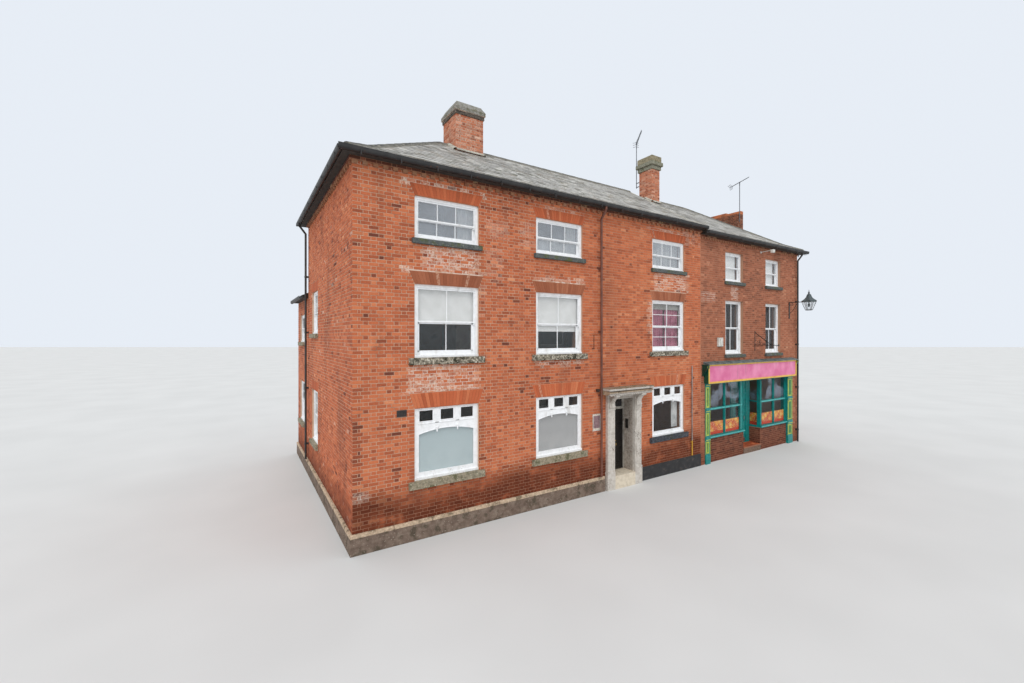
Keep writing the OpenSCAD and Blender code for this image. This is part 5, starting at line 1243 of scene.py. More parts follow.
for low in (12.18, 18.73):
    blocks += [((low - 0.006, -0.236, 3.60), (low + 0.126, -0.004, 3.625)),
        ((low - 0.004, -0.234, 3.53), (low + 0.124, -0.2, 3.548)),
        ((low + 0.03, -0.238, 3.552), (low + 0.09, -0.229, 3.596))]
eased("bracket_mouldings", blocks, 0.003, deep_green)
eased("bracket_edges", [((low + side, -0.2335, 3.54), (low + side + 0.014, -0.226, 3.60))
    for low in (12.18, 18.73) for side in (0.0, 0.106)], 0.002, lime_paint)
lead = finish("sheet_lead", 0.58, Metallic=0.25)
coat(lead, over(lead, band(lead, grain(lead, 0.1, 5), 0.5, 0.7),
    steps(lead, grain(lead, 0.3, 4), [(0.35, (78, 90, 92)), (0.65, (112, 124, 126))]), (136, 140, 136)),
    sums(lead, "ADD", grain(lead, 0.05, 3), grain(lead, 0.3, 3)), 0.005)
dress(lead, "fascia_flashing")
blocks = []
rolls = []
for i in range(8):
    x = 12.9 + i * 0.80
    blocks.append(((x - 0.022, -0.252, 3.648), (x + 0.022, -0.243, 3.683)))
    rolls.append(rod("roll", [(x, -0.250, 3.682), (x, -0.006, 3.756)], 0.013, lead, sides=2))
eased("flashing_clips", blocks, 0.003, lead)
one_piece("flashing_rolls", rolls)

# Stallrisers and lobby
# Under the windows the bricks are dark brown-red and soft with damp. The lobby is laid with orange-red
# clay tiles, worn at the doorstep.
riser_brick = fired_clay("riser_brick", [(0.0, (62, 38, 32)), (0.35, (96, 56, 44)), (0.6, (122, 72, 54)),
    (1.0, (150, 98, 76))], (176, 150, 128))
riser_mortar = mortar("riser_mortar", (96, 76, 64), (128, 106, 90), [])
dress(riser_mortar, "shop_stallrisers")


def riser_look(u, z, header):
    return 0.5 + chance.gauss(0, 0.15), 0.0, min(max((0.5 - z) / 0.5, 0), 1) * 0.6


for name, low, high in (("west", 12.624, 14.948), ("east", 16.202, 18.286)):
    lay_bricks("stallriser_" + name, (low, high, 0.004, 0.896, [], riser_look), FACING_STREET,
        (0, 0.04, 0), riser_brick)
lay_bricks("stallriser_return_west", (0.044, 0.56, 0.004, 0.896, [], riser_look), FACING_EAST,
    (14.95, 0, 0), riser_brick)
lay_bricks("stallriser_return_east", (0.044, 0.56, 0.004, 0.896, [], riser_look), FACING_SIDE,
    (16.20, 0, 0), riser_brick)
lay("shop_pier_bricks", brick_pattern, courses(12.112, 12.345, 0, 3.18, [], shop_look)
    + courses(18.685, 19.206, 0, 3.18, [], shop_look), FACING_STREET, (0, 0, 0), shop_brick)
tile_grout = mottled("tile_grout", 0.95, (0.05, 4), [(0.3, (96, 76, 64)), (0.6, (128, 104, 88))])
dress(tile_grout, "lobby_step")
clay_tile = fired_clay("clay_tile", [(0.0, (134, 60, 36)), (0.4, (176, 82, 48)), (0.7, (198, 100, 60)),
    (1.0, (214, 128, 84))], (196, 150, 120))
floor_tile = block_pattern((0.15, 0.004, 0.15), 0.002, face=(0.975, 1, 0.975))
spots = []
for i in range(8):
    for j in range(4):
        spots.append((14.95 + 0.078 + i * 0.1563, 0.012 + 0.066 + j * 0.136, 0.150, 0.130,
            chance.uniform(0.8, 1.2), 0.5 + chance.gauss(0, 0.16), 0.0, chance.random() * 0.5,
            chance.gauss(0, 0.002)))
lay("lobby_tiles", floor_tile, spots, ((1, 0, 0), (0, 0, 1), (0, 1, 0)), (0, 0, 0.25), clay_tile)
nosing_clay = mortar("nosing_clay", (156, 74, 46), (184, 92, 58), [])
eased("lobby_nosing", [((14.952, 0.0, 0.205), (16.198, 0.024, 0.256))], 0.005, nosing_clay)

# Shop door
# A half-glazed leaf between the lobby windows. Beads hold its glass, and it has a lever, a kick plate and
# a weather bar.
blocks = []
for x0, x1, z0, z1 in ((15.195, 15.211, 1.37, 2.43), (15.819, 15.835, 1.37, 2.43),
        (15.1955, 15.8345, 1.37, 1.386), (15.1955, 15.8345, 2.414, 2.43)):
    blocks.append(((x0, 0.514, z0 - 0.001), (x1, 0.53, z1 + 0.001)))
for x0, x1, z0, z1 in ((15.21, 15.49, 0.52, 1.14), (15.54, 15.82, 0.52, 1.14)):
    blocks += beads(x0, x1, z0, z1, 0.514, 0.522, 0.014)
eased("shop_door_beads", blocks, 0.003, teal_light, "shop_door")
steel = mottled("worn_steel", 0.32, (0.05, 4), [(0.3, (128, 128, 126)), (0.6, (178, 178, 176))],
    (0.004, 3), 0.0003, Metallic=0.9)
parts = [rod("lever", [(15.85, 0.485, 1.28), (15.79, 0.483, 1.278), (15.74, 0.485, 1.275)], 0.008, steel,
    sides=3), rod("spindle", [(15.85, 0.52, 1.28), (15.85, 0.485, 1.28)], 0.010, steel, sides=3)]
one_piece("shop_door_lever", parts, "shop_door")
eased("shop_door_plates", [((15.832, 0.514, 1.20), (15.868, 0.5205, 1.36)),
    ((15.12, 0.515, 0.30), (15.91, 0.5205, 0.46))], 0.002, steel, "shop_door")

# Printed panels in the shop windows
# Card panels stood inside the glass, printed with plain food-coloured rounds and bands, without words.
mat = finish("poster_print", 0.4, Specular_IOR_Level=0.4)
up = east_and_up(mat)[1]
cells = node(mat, "ShaderNodeTexVoronoi", {0: place(mat), "Scale": 4.2, "Randomness": 0.8})
picture = steps(mat, cells.outputs["Distance"], [(0.10, (246, 220, 130)), (0.24, (250, 186, 64)),
    (0.42, (242, 140, 44)), (0.62, (222, 84, 36))])
bits = band(mat, grain(mat, 0.035, 3), 0.56, 0.62)
picture = over(mat, times(mat, bits, 0.8), picture, (250, 236, 196))
sprigs = band(mat, grain(mat, 0.05, 2), 0.64, 0.68)
picture = over(mat, sprigs, picture, (96, 128, 48))
lower = band(mat, up, 1.12, 1.10)
picture = over(mat, lower, picture, (222, 68, 34))
coat(mat, picture, grain(mat, 0.1, 2), 0.0005)
dress(mat, "window_posters")

# Floors
# Softwood boards on joists, dark with old stain, seen only through the windows.
boards = finish("floor_boards", 0.6, Specular_IOR_Level=0.3)
lines = node(boards, "ShaderNodeTexBrick", {0: place(boards), "Scale": 1.0, "Mortar Size": 0.004,
    "Brick Width": 2.4, "Row Height": 0.14, "Color1": tone(112, 84, 58), "Color2": tone(92, 68, 46),
    "Mortar": tone(34, 26, 20)})
coat(boards, over(boards, times(boards, grain(boards, 0.06, 5, (0.15, 1, 1)), 0.5), lines.outputs["Color"],
    (74, 54, 38)), grain(boards, 0.03, 4, (0.15, 1, 1)), 0.001)
dress(boards, "ground_floors", "first_floors", "second_floors")

# Slates
# Old quarry slates nailed in courses with broken joints, mottled grey, green and brown, some slipped.
# They are laid on each slope as a rectangle and then cut along the hips.
slate_pattern = block_pattern((0.25, 0.007, 0.30), 0.004, foot=0.011)


def slate_finish(name):
    mat = finish(name, 0.62, Specular_IOR_Level=0.4)
    shades = copy_shades(mat)
    fired = sums(mat, "ADD", shades[0], times(mat, grain(mat, 0.07, 5), 0.5))
    colour = steps(mat, sums(mat, "SUBTRACT", fired, 0.25), [(0.1, (114, 111, 108)),
        (0.35, (150, 148, 145)), (0.6, (174, 172, 169)), (0.85, (196, 194, 189))])
    warm = band(mat, grain(mat, 0.35, 4), 0.5, 0.7)
    colour = over(mat, times(mat, warm, 0.45), colour, (142, 124, 104))
    lichen = times(mat, band(mat, grain(mat, 0.035, 5), 0.58, 0.66), shades[1])
    colour = over(mat, lichen, colour, (186, 184, 160))
    mossy = times(mat, band(mat, grain(mat, 0.16, 5), 0.5, 0.66), shades[2])
    colour = over(mat, mossy, colour, (76, 80, 54))
    return coat(mat, colour, sums(mat, "ADD", grain(mat, 0.03, 5, (1, 1, 3)), grain(mat, 0.4, 2)), 0.004)


slates = slate_finish("slates")
under_slate = mottled("slate_backs", 0.9, (0.1, 4), [(0.3, (38, 34, 31)), (0.6, (60, 55, 50))])
dress(under_slate, "main_roof", "shop_roof", "wing_roof")


def alone(piece):
    """Selects one piece only and makes it the active one."""
    bpy.ops.object.select_all(action="DESELECT")
    piece.select_set(True)
    bpy.context.view_layer.objects.active = piece


def cut_side(piece, spot, normal):
    """Cuts a piece at a plane and drops what is beyond it."""
    alone(piece)
    edit_all()
    bpy.ops.mesh.bisect(plane_co=spot, plane_no=normal, clear_outer=True, clear_inner=False)
    mode("OBJECT")


def slope(name, left, right, origin, level, out, parts, cuts):
    """Slates on one slope: each part has its pitch and its run, and climbs from the last."""
    spot = np.array(origin, dtype=float)
    for k, (pitch, run) in enumerate(parts):
        lean = radians(pitch)
        up = -np.array(out, dtype=float) * cos(lean) + np.array((0, 0, sin(lean)))
        face = np.array(out, dtype=float) * sin(lean) + np.array((0, 0, cos(lean)))
        tall = run / cos(lean)
        rows = int(round(tall / 0.215))
        gauge = tall / rows
        spots = []
        for j in range(rows):
            tail = j * gauge - (0.028 if k == 0 and j == 0 else 0.0)
            x = left - (0.125 if j % 2 else 0.0) + chance.uniform(-0.01, 0.01)
            row_shade = chance.gauss(0.5, 0.07)
            while x < right:
                wide = 0.2515
                start, end = max(x, left), min(x + wide, right)
                x += wide
                if end - start < 0.03:
                    continue
                slip = -chance.uniform(0.02, 0.07) if chance.random() < 0.007 else chance.gauss(0, 0.002)
                length = min(0.30, tall - tail + (0.05 if k == 0 else 0.0))
                u, v = (start + end) / 2, tail + slip + length / 2
                shade = row_shade + 0.12 * drift(u * 1.3, tail * 2 + k * 5) + chance.gauss(0, 0.14)
                spots.append((u, v, end - start - 0.004, length, chance.uniform(0.9, 1.2), shade,
                    chance.uniform(0.2, 1.0), min(1, max(0, chance.gauss(0.35, 0.3))),
                    chance.gauss(0, 0.010)))
        piece = lay(name + ("_foot" if k == 0 and len(parts) > 1 else ""), slate_pattern, spots,
            (level, tuple(face), tuple(up)), tuple(spot), slates)
        for where, normal in cuts:
            cut_side(piece, where, normal)
        spot = spot + up * tall


EAVES = 8.62
SHOP_EAVES = 8.49
RIDGE = 10.872
SHOP_RIDGE = 10.742
RIDGE_Y = 3.4
OUT = -0.24
BACK = 7.04
PITCHES = ((26, 0.69), (33, 2.95))
WEST_HIP = ((OUT, OUT, 9), (OUT, BACK, 9))
EAST_HIP = ((19.44, OUT, 9), (19.44, BACK, 9))
for row in (
        ("house_slates_street", -0.30, 12.108, (0, OUT, EAVES), (1, 0, 0), (0, -1, 0), PITCHES,
        [(WEST_HIP[0], (-1, 1, 0))]),
        ("house_slates_yard", -0.30, 12.108, (0, BACK, EAVES), (1, 0, 0), (0, 1, 0), PITCHES,
        [(WEST_HIP[1], (-1, -1, 0))]),
        ("house_slates_side", -0.30, 7.10, (OUT, 0, EAVES), (0, 1, 0), (-1, 0, 0), PITCHES,
        [(WEST_HIP[0], (1, -1, 0)), (WEST_HIP[1], (1, 1, 0))]),
        ("shop_slates_street", 12.112, 19.50, (0, OUT, SHOP_EAVES), (1, 0, 0), (0, -1, 0), PITCHES,
        [(EAST_HIP[0], (1, 1, 0))]),
        ("shop_slates_yard", 12.112, 19.50, (0, BACK, SHOP_EAVES), (1, 0, 0), (0, 1, 0), PITCHES,
        [(EAST_HIP[1], (1, -1, 0))]),
        ("shop_slates_end", -0.30, 7.10, (19.44, 0, SHOP_EAVES), (0, 1, 0), (1, 0, 0), PITCHES,
        [(EAST_HIP[0], (-1, -1, 0)), (EAST_HIP[1], (-1, 1, 0))]),
        ("wing_slates_street", 6.81, 9.72, (-0.18, 0, 6.09), (0, 1, 0), (-1, 0, 0), ((26, 2.17),), []),
        ("wing_slates_yard", 6.81, 9.72, (4.18, 0, 6.09), (0, 1, 0), (1, 0, 0), ((26, 2.17),), [])):
    slope(*row)

# Ridge and hip tiles
# Half-round clay tiles 450 mm long, bedded in mortar whose pale edge shows along both sides.


def tiled(name, pattern, runs, pitch, mat, jitter):
    """Copies a tile along each run from one point to the next, with its back upwards."""
    base, faces = pattern
    corners, every = [], []
    for start, end in runs:
        start, end = np.array(start, dtype=float), np.array(end, dtype=float)
        way = (end - start) / np.linalg.norm(end - start)
        side = np.cross((0, 0, 1.0), way)
        side /= np.linalg.norm(side)
        top = np.cross(way, side)
        count = max(1, int(round(np.linalg.norm(end - start) / pitch)))
        step = (end - start) / count
        for i in range(count):
            spot = start + step * (i + 0.5)
            lean = chance.gauss(0, jitter)
            grown = base * (np.linalg.norm(step) / pitch, 1, 1)
            body = grown[:, 0:1] * way + grown[:, 1:2] * side + grown[:, 2:3] * top + spot
            body += grown[:, 0:1] * lean * side
            every += [tuple(j + len(corners) for j in face) for face in faces]
            corners += body.tolist()
    piece = joined(name, corners, every, mat)
    for face in piece.data.polygons:
        face.use_smooth = True
    alone(piece)
    bpy.ops.object.shade_smooth_by_angle(angle=radians(40))
    return settle(piece)


def half_round(radius, length, thick, sides, taper=1.0):
    piece = begin("pattern", bpy.ops.mesh.primitive_cylinder_add, vertices=sides, radius=radius,
        depth=length, end_fill_type="NOTHING")
    edit_all()
    bpy.ops.transform.rotate(value=radians(90), orient_axis="Y", center_override=(0, 0, 0))
    bpy.ops.mesh.bisect(plane_co=(0, 0, -0.001), plane_no=(0, 0, -1), clear_outer=True)
    mode("OBJECT")
    for corner in piece.data.vertices:
        if corner.co.x > 0:
            corner.co.y *= taper
            corner.co.z *= taper
    applied(piece, "SOLIDIFY", thickness=thick)
    return pattern_of(piece)


ridge_clay = finish("ridge_clay", 0.85, Specular_IOR_Level=0.2)
coat(ridge_clay, over(ridge_clay, band(ridge_clay, grain(ridge_clay, 0.06, 5), 0.55, 0.68),
    steps(ridge_clay, grain(ridge_clay, 0.4, 4), [(0.35, (80, 80, 80)), (0.6, (110, 109, 106))]),
    (140, 140, 120)), grain(ridge_clay, 0.02, 4), 0.003)
bedding = mottled("ridge_bedding", 0.95, (0.09, 5), [(0.3, (104, 101, 95)), (0.6, (140, 137, 129))],
    (0.015, 5), 0.005, Specular_IOR_Level=0.1)
cement = mottled("cement", 0.95, (0.09, 5), [(0.3, (150, 146, 136)), (0.6, (196, 192, 180))], (0.015, 5),
    0.005, Specular_IOR_Level=0.1)
dress(ridge_clay, "ridge_tiles")
tile = half_round(0.104, 0.442, 0.012, 20, 0.955)
bed = half_round(0.122, 0.45, 0.018, 12)
RUNS = [((3.40, RIDGE_Y, RIDGE), (3.745, RIDGE_Y, RIDGE)),
    ((4.74, RIDGE_Y, RIDGE), (12.1, RIDGE_Y, RIDGE)), ((12.12, RIDGE_Y, SHOP_RIDGE),
    (13.13, RIDGE_Y, SHOP_RIDGE)), ((13.65, RIDGE_Y, SHOP_RIDGE), (15.80, RIDGE_Y, SHOP_RIDGE))]
for corner, end, top, base, way in (((OUT, OUT), (3.40, RIDGE_Y), RIDGE, EAVES, (1, 1)),
        ((OUT, BACK), (3.40, RIDGE_Y), RIDGE, EAVES, (1, -1)),
        ((19.44, OUT), (15.80, RIDGE_Y), SHOP_RIDGE, SHOP_EAVES, (-1, 1)),
        ((19.44, BACK), (15.80, RIDGE_Y), SHOP_RIDGE, SHOP_EAVES, (-1, -1))):
    bend = (corner[0] + 0.69 * way[0], corner[1] + 0.69 * way[1], base + 0.3365)
    foot = (corner[0] + 0.09 * way[0], corner[1] + 0.09 * way[1], base + 0.044)
    RUNS += [(foot, bend), (bend, (*end, top))]
low = [((a[0], a[1], a[2] - 0.048), (b[0], b[1], b[2] - 0.048)) for a, b in RUNS]
wing_run = ((2.0, 6.82, 7.153 - 0.048), (2.0, 9.70, 7.153 - 0.048))
tiled("clay_ridges", tile, low + [wing_run], 0.45, ridge_clay, 0.006)
deeper = [((a[0], a[1], a[2] - 0.03), (b[0], b[1], b[2] - 0.03)) for a, b in low + [wing_run]]
tiled("ridge_bedding", bed, deeper, 0.45, bedding, 0.004)
verge = []
for side, start in ((1, OUT), (-1, BACK)):
    for y0, y1, z0, z1 in ((0, 0.69, EAVES, 8.9565), (0.69, 3.64, 8.9565, RIDGE)):
        verge.append(((12.092, start + side * y0, z0 + 0.004), (12.092, start + side * y1, z1 + 0.004)))
strip = half_round(0.026, 0.30, 0.008, 8)
tiled("verge_fillet", strip, verge, 0.30, cement, 0.004)

# Chimney stacks
# Flemish-bonded brick stacks, smoked and washed pale by frost, with oversailing courses and a weathered
# cap. Cement fillets seal their feet to the slates.


def chimney_look(u, z, header):
    lime = chance.uniform(0.1, 0.6) if chance.random() < 0.35 else 0.0
    return 0.52 + chance.gauss(0, 0.15) - (0.08 if header else 0), lime, max(0, chance.gauss(0.1, 0.15))


def dark_stack_look(u, z, header):
    shade = 0.9 if z > 10.74 else 0.30
    return shade + chance.gauss(0, 0.13), 0.3 if chance.random() < 0.08 else 0.0, max(0,
        chance.gauss(0.1, 0.15))


chimney_brick = fired_clay("chimney_brick", [(0.0, (122, 70, 54)), (0.3, (178, 104, 76)),
    (0.6, (204, 130, 98)), (1.0, (222, 168, 144))], (222, 198, 178))
dark_stack_brick = fired_clay("dark_stack_brick", [(0.0, (72, 50, 44)), (0.3, (110, 74, 62)),
    (0.6, (148, 92, 70)), (1.0, (206, 122, 80))], (188, 164, 144))
stack_mortar = mortar("stack_mortar", (198, 172, 152), (216, 196, 178), [])


WEST_STACK = (3.755, 4.73, 2.90, 3.87)
MIDDLE_STACK = (13.14, 13.64, 3.05, 3.74)
EAST_STACK = (18.75, 19.19, 2.46, 4.34)


def stack(name, sides, foot, top, mat, look, crown=()):
    """Bricks on the four sides of a stack, and on the stretches of its broken crown."""
    x0, x1, y0, y1 = sides
    pieces = []
    faces = {"street": (FACING_STREET, (0, y0, 0), 0.006), "side": (FACING_SIDE, (x0, 0, 0), 0.0),
        "back": (FACING_BACK, (0, y1, 0), 0.006), "east": (FACING_EAST, (x1, 0, 0), 0.0)}
    runs = [("street", x0, x1, foot, top), ("side", y0, y1, foot, top), ("back", x0, x1, foot, top),
        ("east", y0, y1, foot, top)]
    for i, (face, low, high, bottom, head) in enumerate(runs + list(crown)):
        axes, origin, edge = faces[face]
        spots = courses(low - edge, high + edge, bottom, head, [], look)
        pieces.append(lay(name + "_" + str(i), brick_pattern, spots, axes, origin, mat))
    return one_piece(name, pieces)


stack("west_stack_bricks", WEST_STACK, 10.45, 11.73, chimney_brick, chimney_look)
stack("middle_stack_bricks", MIDDLE_STACK, 10.46, 11.98, chimney_brick, chimney_look)
CROWN = [("street", 18.75, 19.19, 10.742, 10.82), ("side", 2.46, 4.34, 10.742, 10.82),
    ("back", 18.75, 18.97, 10.742, 10.82), ("east", 2.46, 3.588, 10.742, 10.82),
    ("street", 18.97, 19.19, 10.822, 10.90), ("side", 3.087, 4.34, 10.822, 10.90),
    ("back", 18.75, 18.97, 10.822, 10.90), ("east", 2.46, 3.588, 10.822, 10.90)]
stack("east_stack_bricks", EAST_STACK, 8.60, 10.74, dark_stack_brick, dark_stack_look, CROWN)
cap_stone = stone("cap_stone", [(0.3, (116, 112, 104)), (0.6, (150, 148, 142))], (108, 106, 88),
    (168, 168, 156))
sooty = stone("sooty_stone", [(0.3, (66, 60, 56)), (0.6, (104, 96, 88))], (60, 56, 50), (120, 112, 104))
green_stone = stone("green_stone", [(0.3, (110, 110, 96)), (0.6, (146, 144, 128))], (102, 104, 80),
    (164, 162, 146))
ochre_stone = stone("ochre_stone", [(0.3, (120, 112, 92)), (0.6, (156, 146, 122))], (112, 106, 84),
    (176, 168, 144))
for name, mat, (x0, x1, y0, y1), z0, z1, out in (
        ("west_stack_band", sooty, WEST_STACK, 11.726, 11.838, 0.034),
        ("west_stack_drip", cap_stone, WEST_STACK, 11.842, 11.952, 0.064),
        ("middle_stack_band", green_stone, MIDDLE_STACK, 11.978, 12.138, 0.055),
        ("middle_stack_drip", green_stone, MIDDLE_STACK, 12.142, 12.302, 0.115),
        ("middle_stack_neck", ochre_stone, MIDDLE_STACK, 12.302, 12.558, 0.064)):
    eased(name, [((x0 - out, y0 - out, z0), (x1 + out, y1 + out, z1))], 0.012, mat, rough=0.004,
        cuts=3)
cap = begin("west_stack_cap", bpy.ops.mesh.primitive_cube_add, size=1, location=(4.2425, 3.385, 12.052))
cap.scale = (1.109, 1.104, 0.206)
bpy.ops.object.transform_apply()
pick(cap, (0, 0, 1))
bpy.ops.transform.resize(value=(0.785, 0.785, 1), center_override=(4.2425, 3.385, 12.155))
bpy.ops.mesh.inset(thickness=0.14, depth=0)
pick(cap)
bpy.ops.mesh.subdivide(number_cuts=3)
mode("OBJECT")
for corner in cap.data.vertices:
    corner.co.z += 0.006 * sin(corner.co.x * 31) * cos(corner.co.y * 27)
cap.data.materials.append(cap_stone)
settle(cap)
dress(stack_mortar, "chimney_west", "chimney_middle")
crown_brick = mortar("crown_brick", (176, 108, 72), (204, 132, 88), [])
dress(crown_brick, "chimney_east")
ROOF_RISE = tan(radians(33))


def fillet(name, sides, ridge_z):
    """Cement against the foot of a stack that straddles a ridge."""
    x0, x1, y0, y1 = sides
    front, back = ridge_z - (RIDGE_Y - y0) * ROOF_RISE, ridge_z - (y1 - RIDGE_Y) * ROOF_RISE
    runs = [((x0, y0 - 0.012, front), (x1, y0 - 0.012, front)),
        ((x0, y1 + 0.012, back), (x1, y1 + 0.012, back))]
    for x in (x0 - 0.012, x1 + 0.012):
        runs += [((x, y0 - 0.02, front), (x, RIDGE_Y, ridge_z)),
            ((x, RIDGE_Y, ridge_z), (x, y1 + 0.02, back))]
    return tiled(name, half_round(0.095, 0.20, 0.014, 10), runs, 0.20, cement, 0.02)


fillet("west_stack_fillet", WEST_STACK, RIDGE)
fillet("middle_stack_fillet", MIDDLE_STACK, SHOP_RIDGE)
tiled("east_stack_fillet", half_round(0.06, 0.20, 0.012, 10),
    [((18.74, 2.45, 8.83), (18.74, 4.35, 8.83)), ((18.74, 2.45, 8.83), (19.20, 2.45, 8.61)),
    ((18.74, 4.35, 8.83), (19.20, 4.35, 8.61))], 0.20, cement, 0.02)

# Gutters and downpipes
# Half-round cast iron gutters on strap brackets, black paint worn to rust at their joints, and round
# pipes on ears. The pipe beside the doorway is painted brown.


def iron(name, paint, worn, rust, roughness=0.45, spots=0.64):
    mat = finish(name, roughness, Specular_IOR_Level=0.5)
    colour = steps(mat, grain(mat, 0.2, 4), [(0.35, worn), (0.65, paint)])
    colour = over(mat, band(mat, grain(mat, 0.05, 5), spots, spots + 0.06), colour, rust)
    return coat(mat, colour, grain(mat, 0.012, 4), 0.0012)


black_iron = iron("black_iron", (25, 25, 27), (44, 43, 43), (96, 62, 44), 0.55)
mat = finish("pipe_iron", 0.5, Specular_IOR_Level=0.5)
east, up = east_and_up(mat)
brown_side = times(mat, band(mat, east, 6.6, 6.7), band(mat, east, 7.7, 7.6))
pipe_base = over(mat, brown_side, steps(mat, grain(mat, 0.2, 4),
    [(0.35, (60, 58, 56)), (0.65, (36, 36, 38))]), steps(mat, grain(mat, 0.2, 4),
    [(0.35, (120, 74, 58)), (0.65, (92, 54, 44))]))
coat(mat, over(mat, band(mat, grain(mat, 0.04, 5), 0.63, 0.70), pipe_base, (120, 78, 52)),
    grain(mat, 0.012, 4), 0.0012)
dress(black_iron, "gutters")
dress(mat, "downpipes")
blocks = []
for z, x0, x1 in ((8.50, 0.1, 12.0), (8.37, 12.5, 19.3)):
    count = int((x1 - x0) / 0.85)
    for i in range(count + 1):
        x = x0 + (x1 - x0) * i / count
        for outer, inner in ((-0.356, -0.24), (7.04, 7.156)):
            blocks.append(((x - 0.014, outer, z - 0.068), (x + 0.014, inner, z - 0.060)))
            lip = outer if outer < 0 else inner - 0.006
            blocks.append(((x - 0.014, lip, z - 0.064), (x + 0.014, lip + 0.006, z + 0.056)))
for x, z in ((-0.24, 8.50), (19.44, 8.37)):
    for i in range(9):
        y = 0.1 + i * 0.82
        side = -1 if x < 0 else 1
        a, b = sorted((x, x + side * 0.116))
        blocks.append(((a, y - 0.014, z - 0.068), (b, y + 0.014, z - 0.060)))
        a, b = sorted((x + side * 0.116, x + side * 0.110))
        blocks.append(((a, y - 0.014, z - 0.064), (b, y + 0.014, z + 0.056)))
eased("gutter_brackets", blocks, 0.0015, black_iron)

# Aerials
# Two old television aerials of aluminium tube on masts lashed to the stacks with steel clamps. Gales have
# tipped the booms: the west one a little, the east one by a third of a right angle.
alloy = mottled("aerial_alloy", 0.5, (0.06, 4), [(0.35, (82, 85, 90)), (0.65, (122, 125, 130))], (0.01, 3),
    0.0004, Metallic=0.6)
parts = []
for mast, foot, head, low, high, count, reach in (((13.18, 3.94), 11.37, 13.41, (0.06, 0.08, 13.40),
        (-0.42, -0.66, 13.62), 13, 0.09), ((18.79, 2.40), 10.30, 12.27, (-0.35, 0.23, 12.03),
        (0.37, -0.24, 12.51), 7, 0.15)):
    parts.append(rod("mast", [(*mast, foot), (*mast, head)], 0.017, alloy, sides=3))
    start = np.array((mast[0] + low[0], mast[1] + low[1], low[2]))
    end = np.array((mast[0] + high[0], mast[1] + high[1], high[2]))
    parts.append(rod("boom", [tuple(start), tuple(end)], 0.018, alloy, sides=2))
    across = np.cross(end - start, (0, 0, 1.0))
    across /= np.linalg.norm(across)
    upright = np.cross(across, end - start)
    upright /= np.linalg.norm(upright)
    if count > 7:
        across, upright = upright, across
    for i in range(count):
        spot = start + (end - start) * (0.04 + 0.92 * i / (count - 1))
        wide = reach * (1.25 - 0.5 * i / (count - 1))
        parts.append(rod("element", [tuple(spot - across * wide), tuple(spot + across * wide)], 0.008,
            alloy, sides=1))
    for side in (-1, 1):
        tip = start - (end - start) * 0.05 + upright * 0.13 * side
        for shift in (-0.11, 0.0, 0.11):
            parts.append(rod("reflector", [tuple(start + across * shift), tuple(tip + across * shift)],
                0.008, alloy, sides=1))
for x, y, near, heights in ((13.18, 3.94, 3.74, (11.40, 11.58)), (18.79, 2.40, 2.46, (10.40, 10.70))):
    for z in heights:
        low, high = sorted((y, near))
        parts.append(eased("clamp", [((x - 0.02, low, z), (x + 0.02, high, z + 0.03))], 0.003, alloy))
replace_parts(one_piece("television_aerials", parts), "aerials")
blocks = []
for x, y, z in ((13.18, 3.94, 13.39), (18.79, 2.40, 12.26)):
    blocks.append(((x - 0.024, y - 0.024, z - 0.05), (x + 0.024, y + 0.024, z + 0.02)))
    blocks.append(((x - 0.02, y - 0.02, z - 0.14), (x + 0.02, y + 0.02, z - 0.11)))
eased("aerial_clamps", blocks, 0.003, alloy)

# Wall lantern
# A six-sided iron lantern hung from a wall arm by its shoulder: thin glazing bars, clear panes, a curved
# sheet cap with a finial, and a lamp holder inside.
LAMP = (18.48, -0.79)
lantern_iron = iron("lantern_iron", (58, 68, 72), (84, 95, 98), (96, 70, 54), 0.5)
lantern_pane = mottled("lantern_pane", 0.05, (0.2, 3), [(0.4, (190, 200, 204)), (0.7, (160, 168, 168))],
    (0.3, 2), 0.001, Alpha=0.10, IOR=1.5)


def six(name, profile, mat):
    """A six-sided shell raised ring by ring, with eased edges."""
    piece = raised(name, (*LAMP, 0), profile, mat, 6)
    applied(piece, "BEVEL", width=0.004, segments=2, limit_method="ANGLE", angle_limit=radians(35))
    return piece


parts = [six("cap", [(0.292, 6.150), (0.300, 6.158), (0.300, 6.186), (0.285, 6.210), (0.262, 6.222),
    (0.205, 6.262), (0.158, 6.304), (0.122, 6.352), (0.098, 6.408), (0.080, 6.462), (0.060, 6.478)],
    lantern_iron), six("foot", [(0.120, 5.790), (0.138, 5.798), (0.138, 5.812), (0.112, 5.824)],
    black_iron), turned("finial", (*LAMP, 6.47), [(0.05, 0), (0.052, 0.012), (0.03, 0.03), (0.022, 0.05),
    (0.036, 0.07), (0.036, 0.084), (0.018, 0.10), (0.012, 0.14), (0.004, 0.20)], black_iron, 12)]
for i in range(6):
    turn = radians(60 * i)
    foot = (LAMP[0] + 0.128 * cos(turn), LAMP[1] + 0.128 * sin(turn), 5.81)
    head = (LAMP[0] + 0.262 * cos(turn), LAMP[1] + 0.262 * sin(turn), 6.155)
    parts.append(rod("bar", [foot, head], 0.009, black_iron, sides=1))
arm = [(18.48, -0.004, 6.168), (18.48, -0.12, 6.172), (18.48, -0.30, 6.168), (18.48, -0.50, 6.166),
    (18.48, -0.62, 6.170)]
parts.append(rod("arm", arm, 0.015, black_iron, sides=2))
curl = []
for i in range(22):
    turn = radians(90 + i * 22)
    reach = 0.075 - i * 0.0028
    curl.append((18.48, -0.105 + reach * cos(turn), 6.075 + reach * sin(turn)))
parts.append(rod("curl", curl, 0.008, black_iron, sides=1))
stay = []
for i in range(13):
    share = i / 12
    stay.append((18.48, -0.012 - 0.33 * share, 5.70 + 0.46 * share ** 1.7))
parts.append(rod("stay", stay, 0.010, black_iron, sides=1))
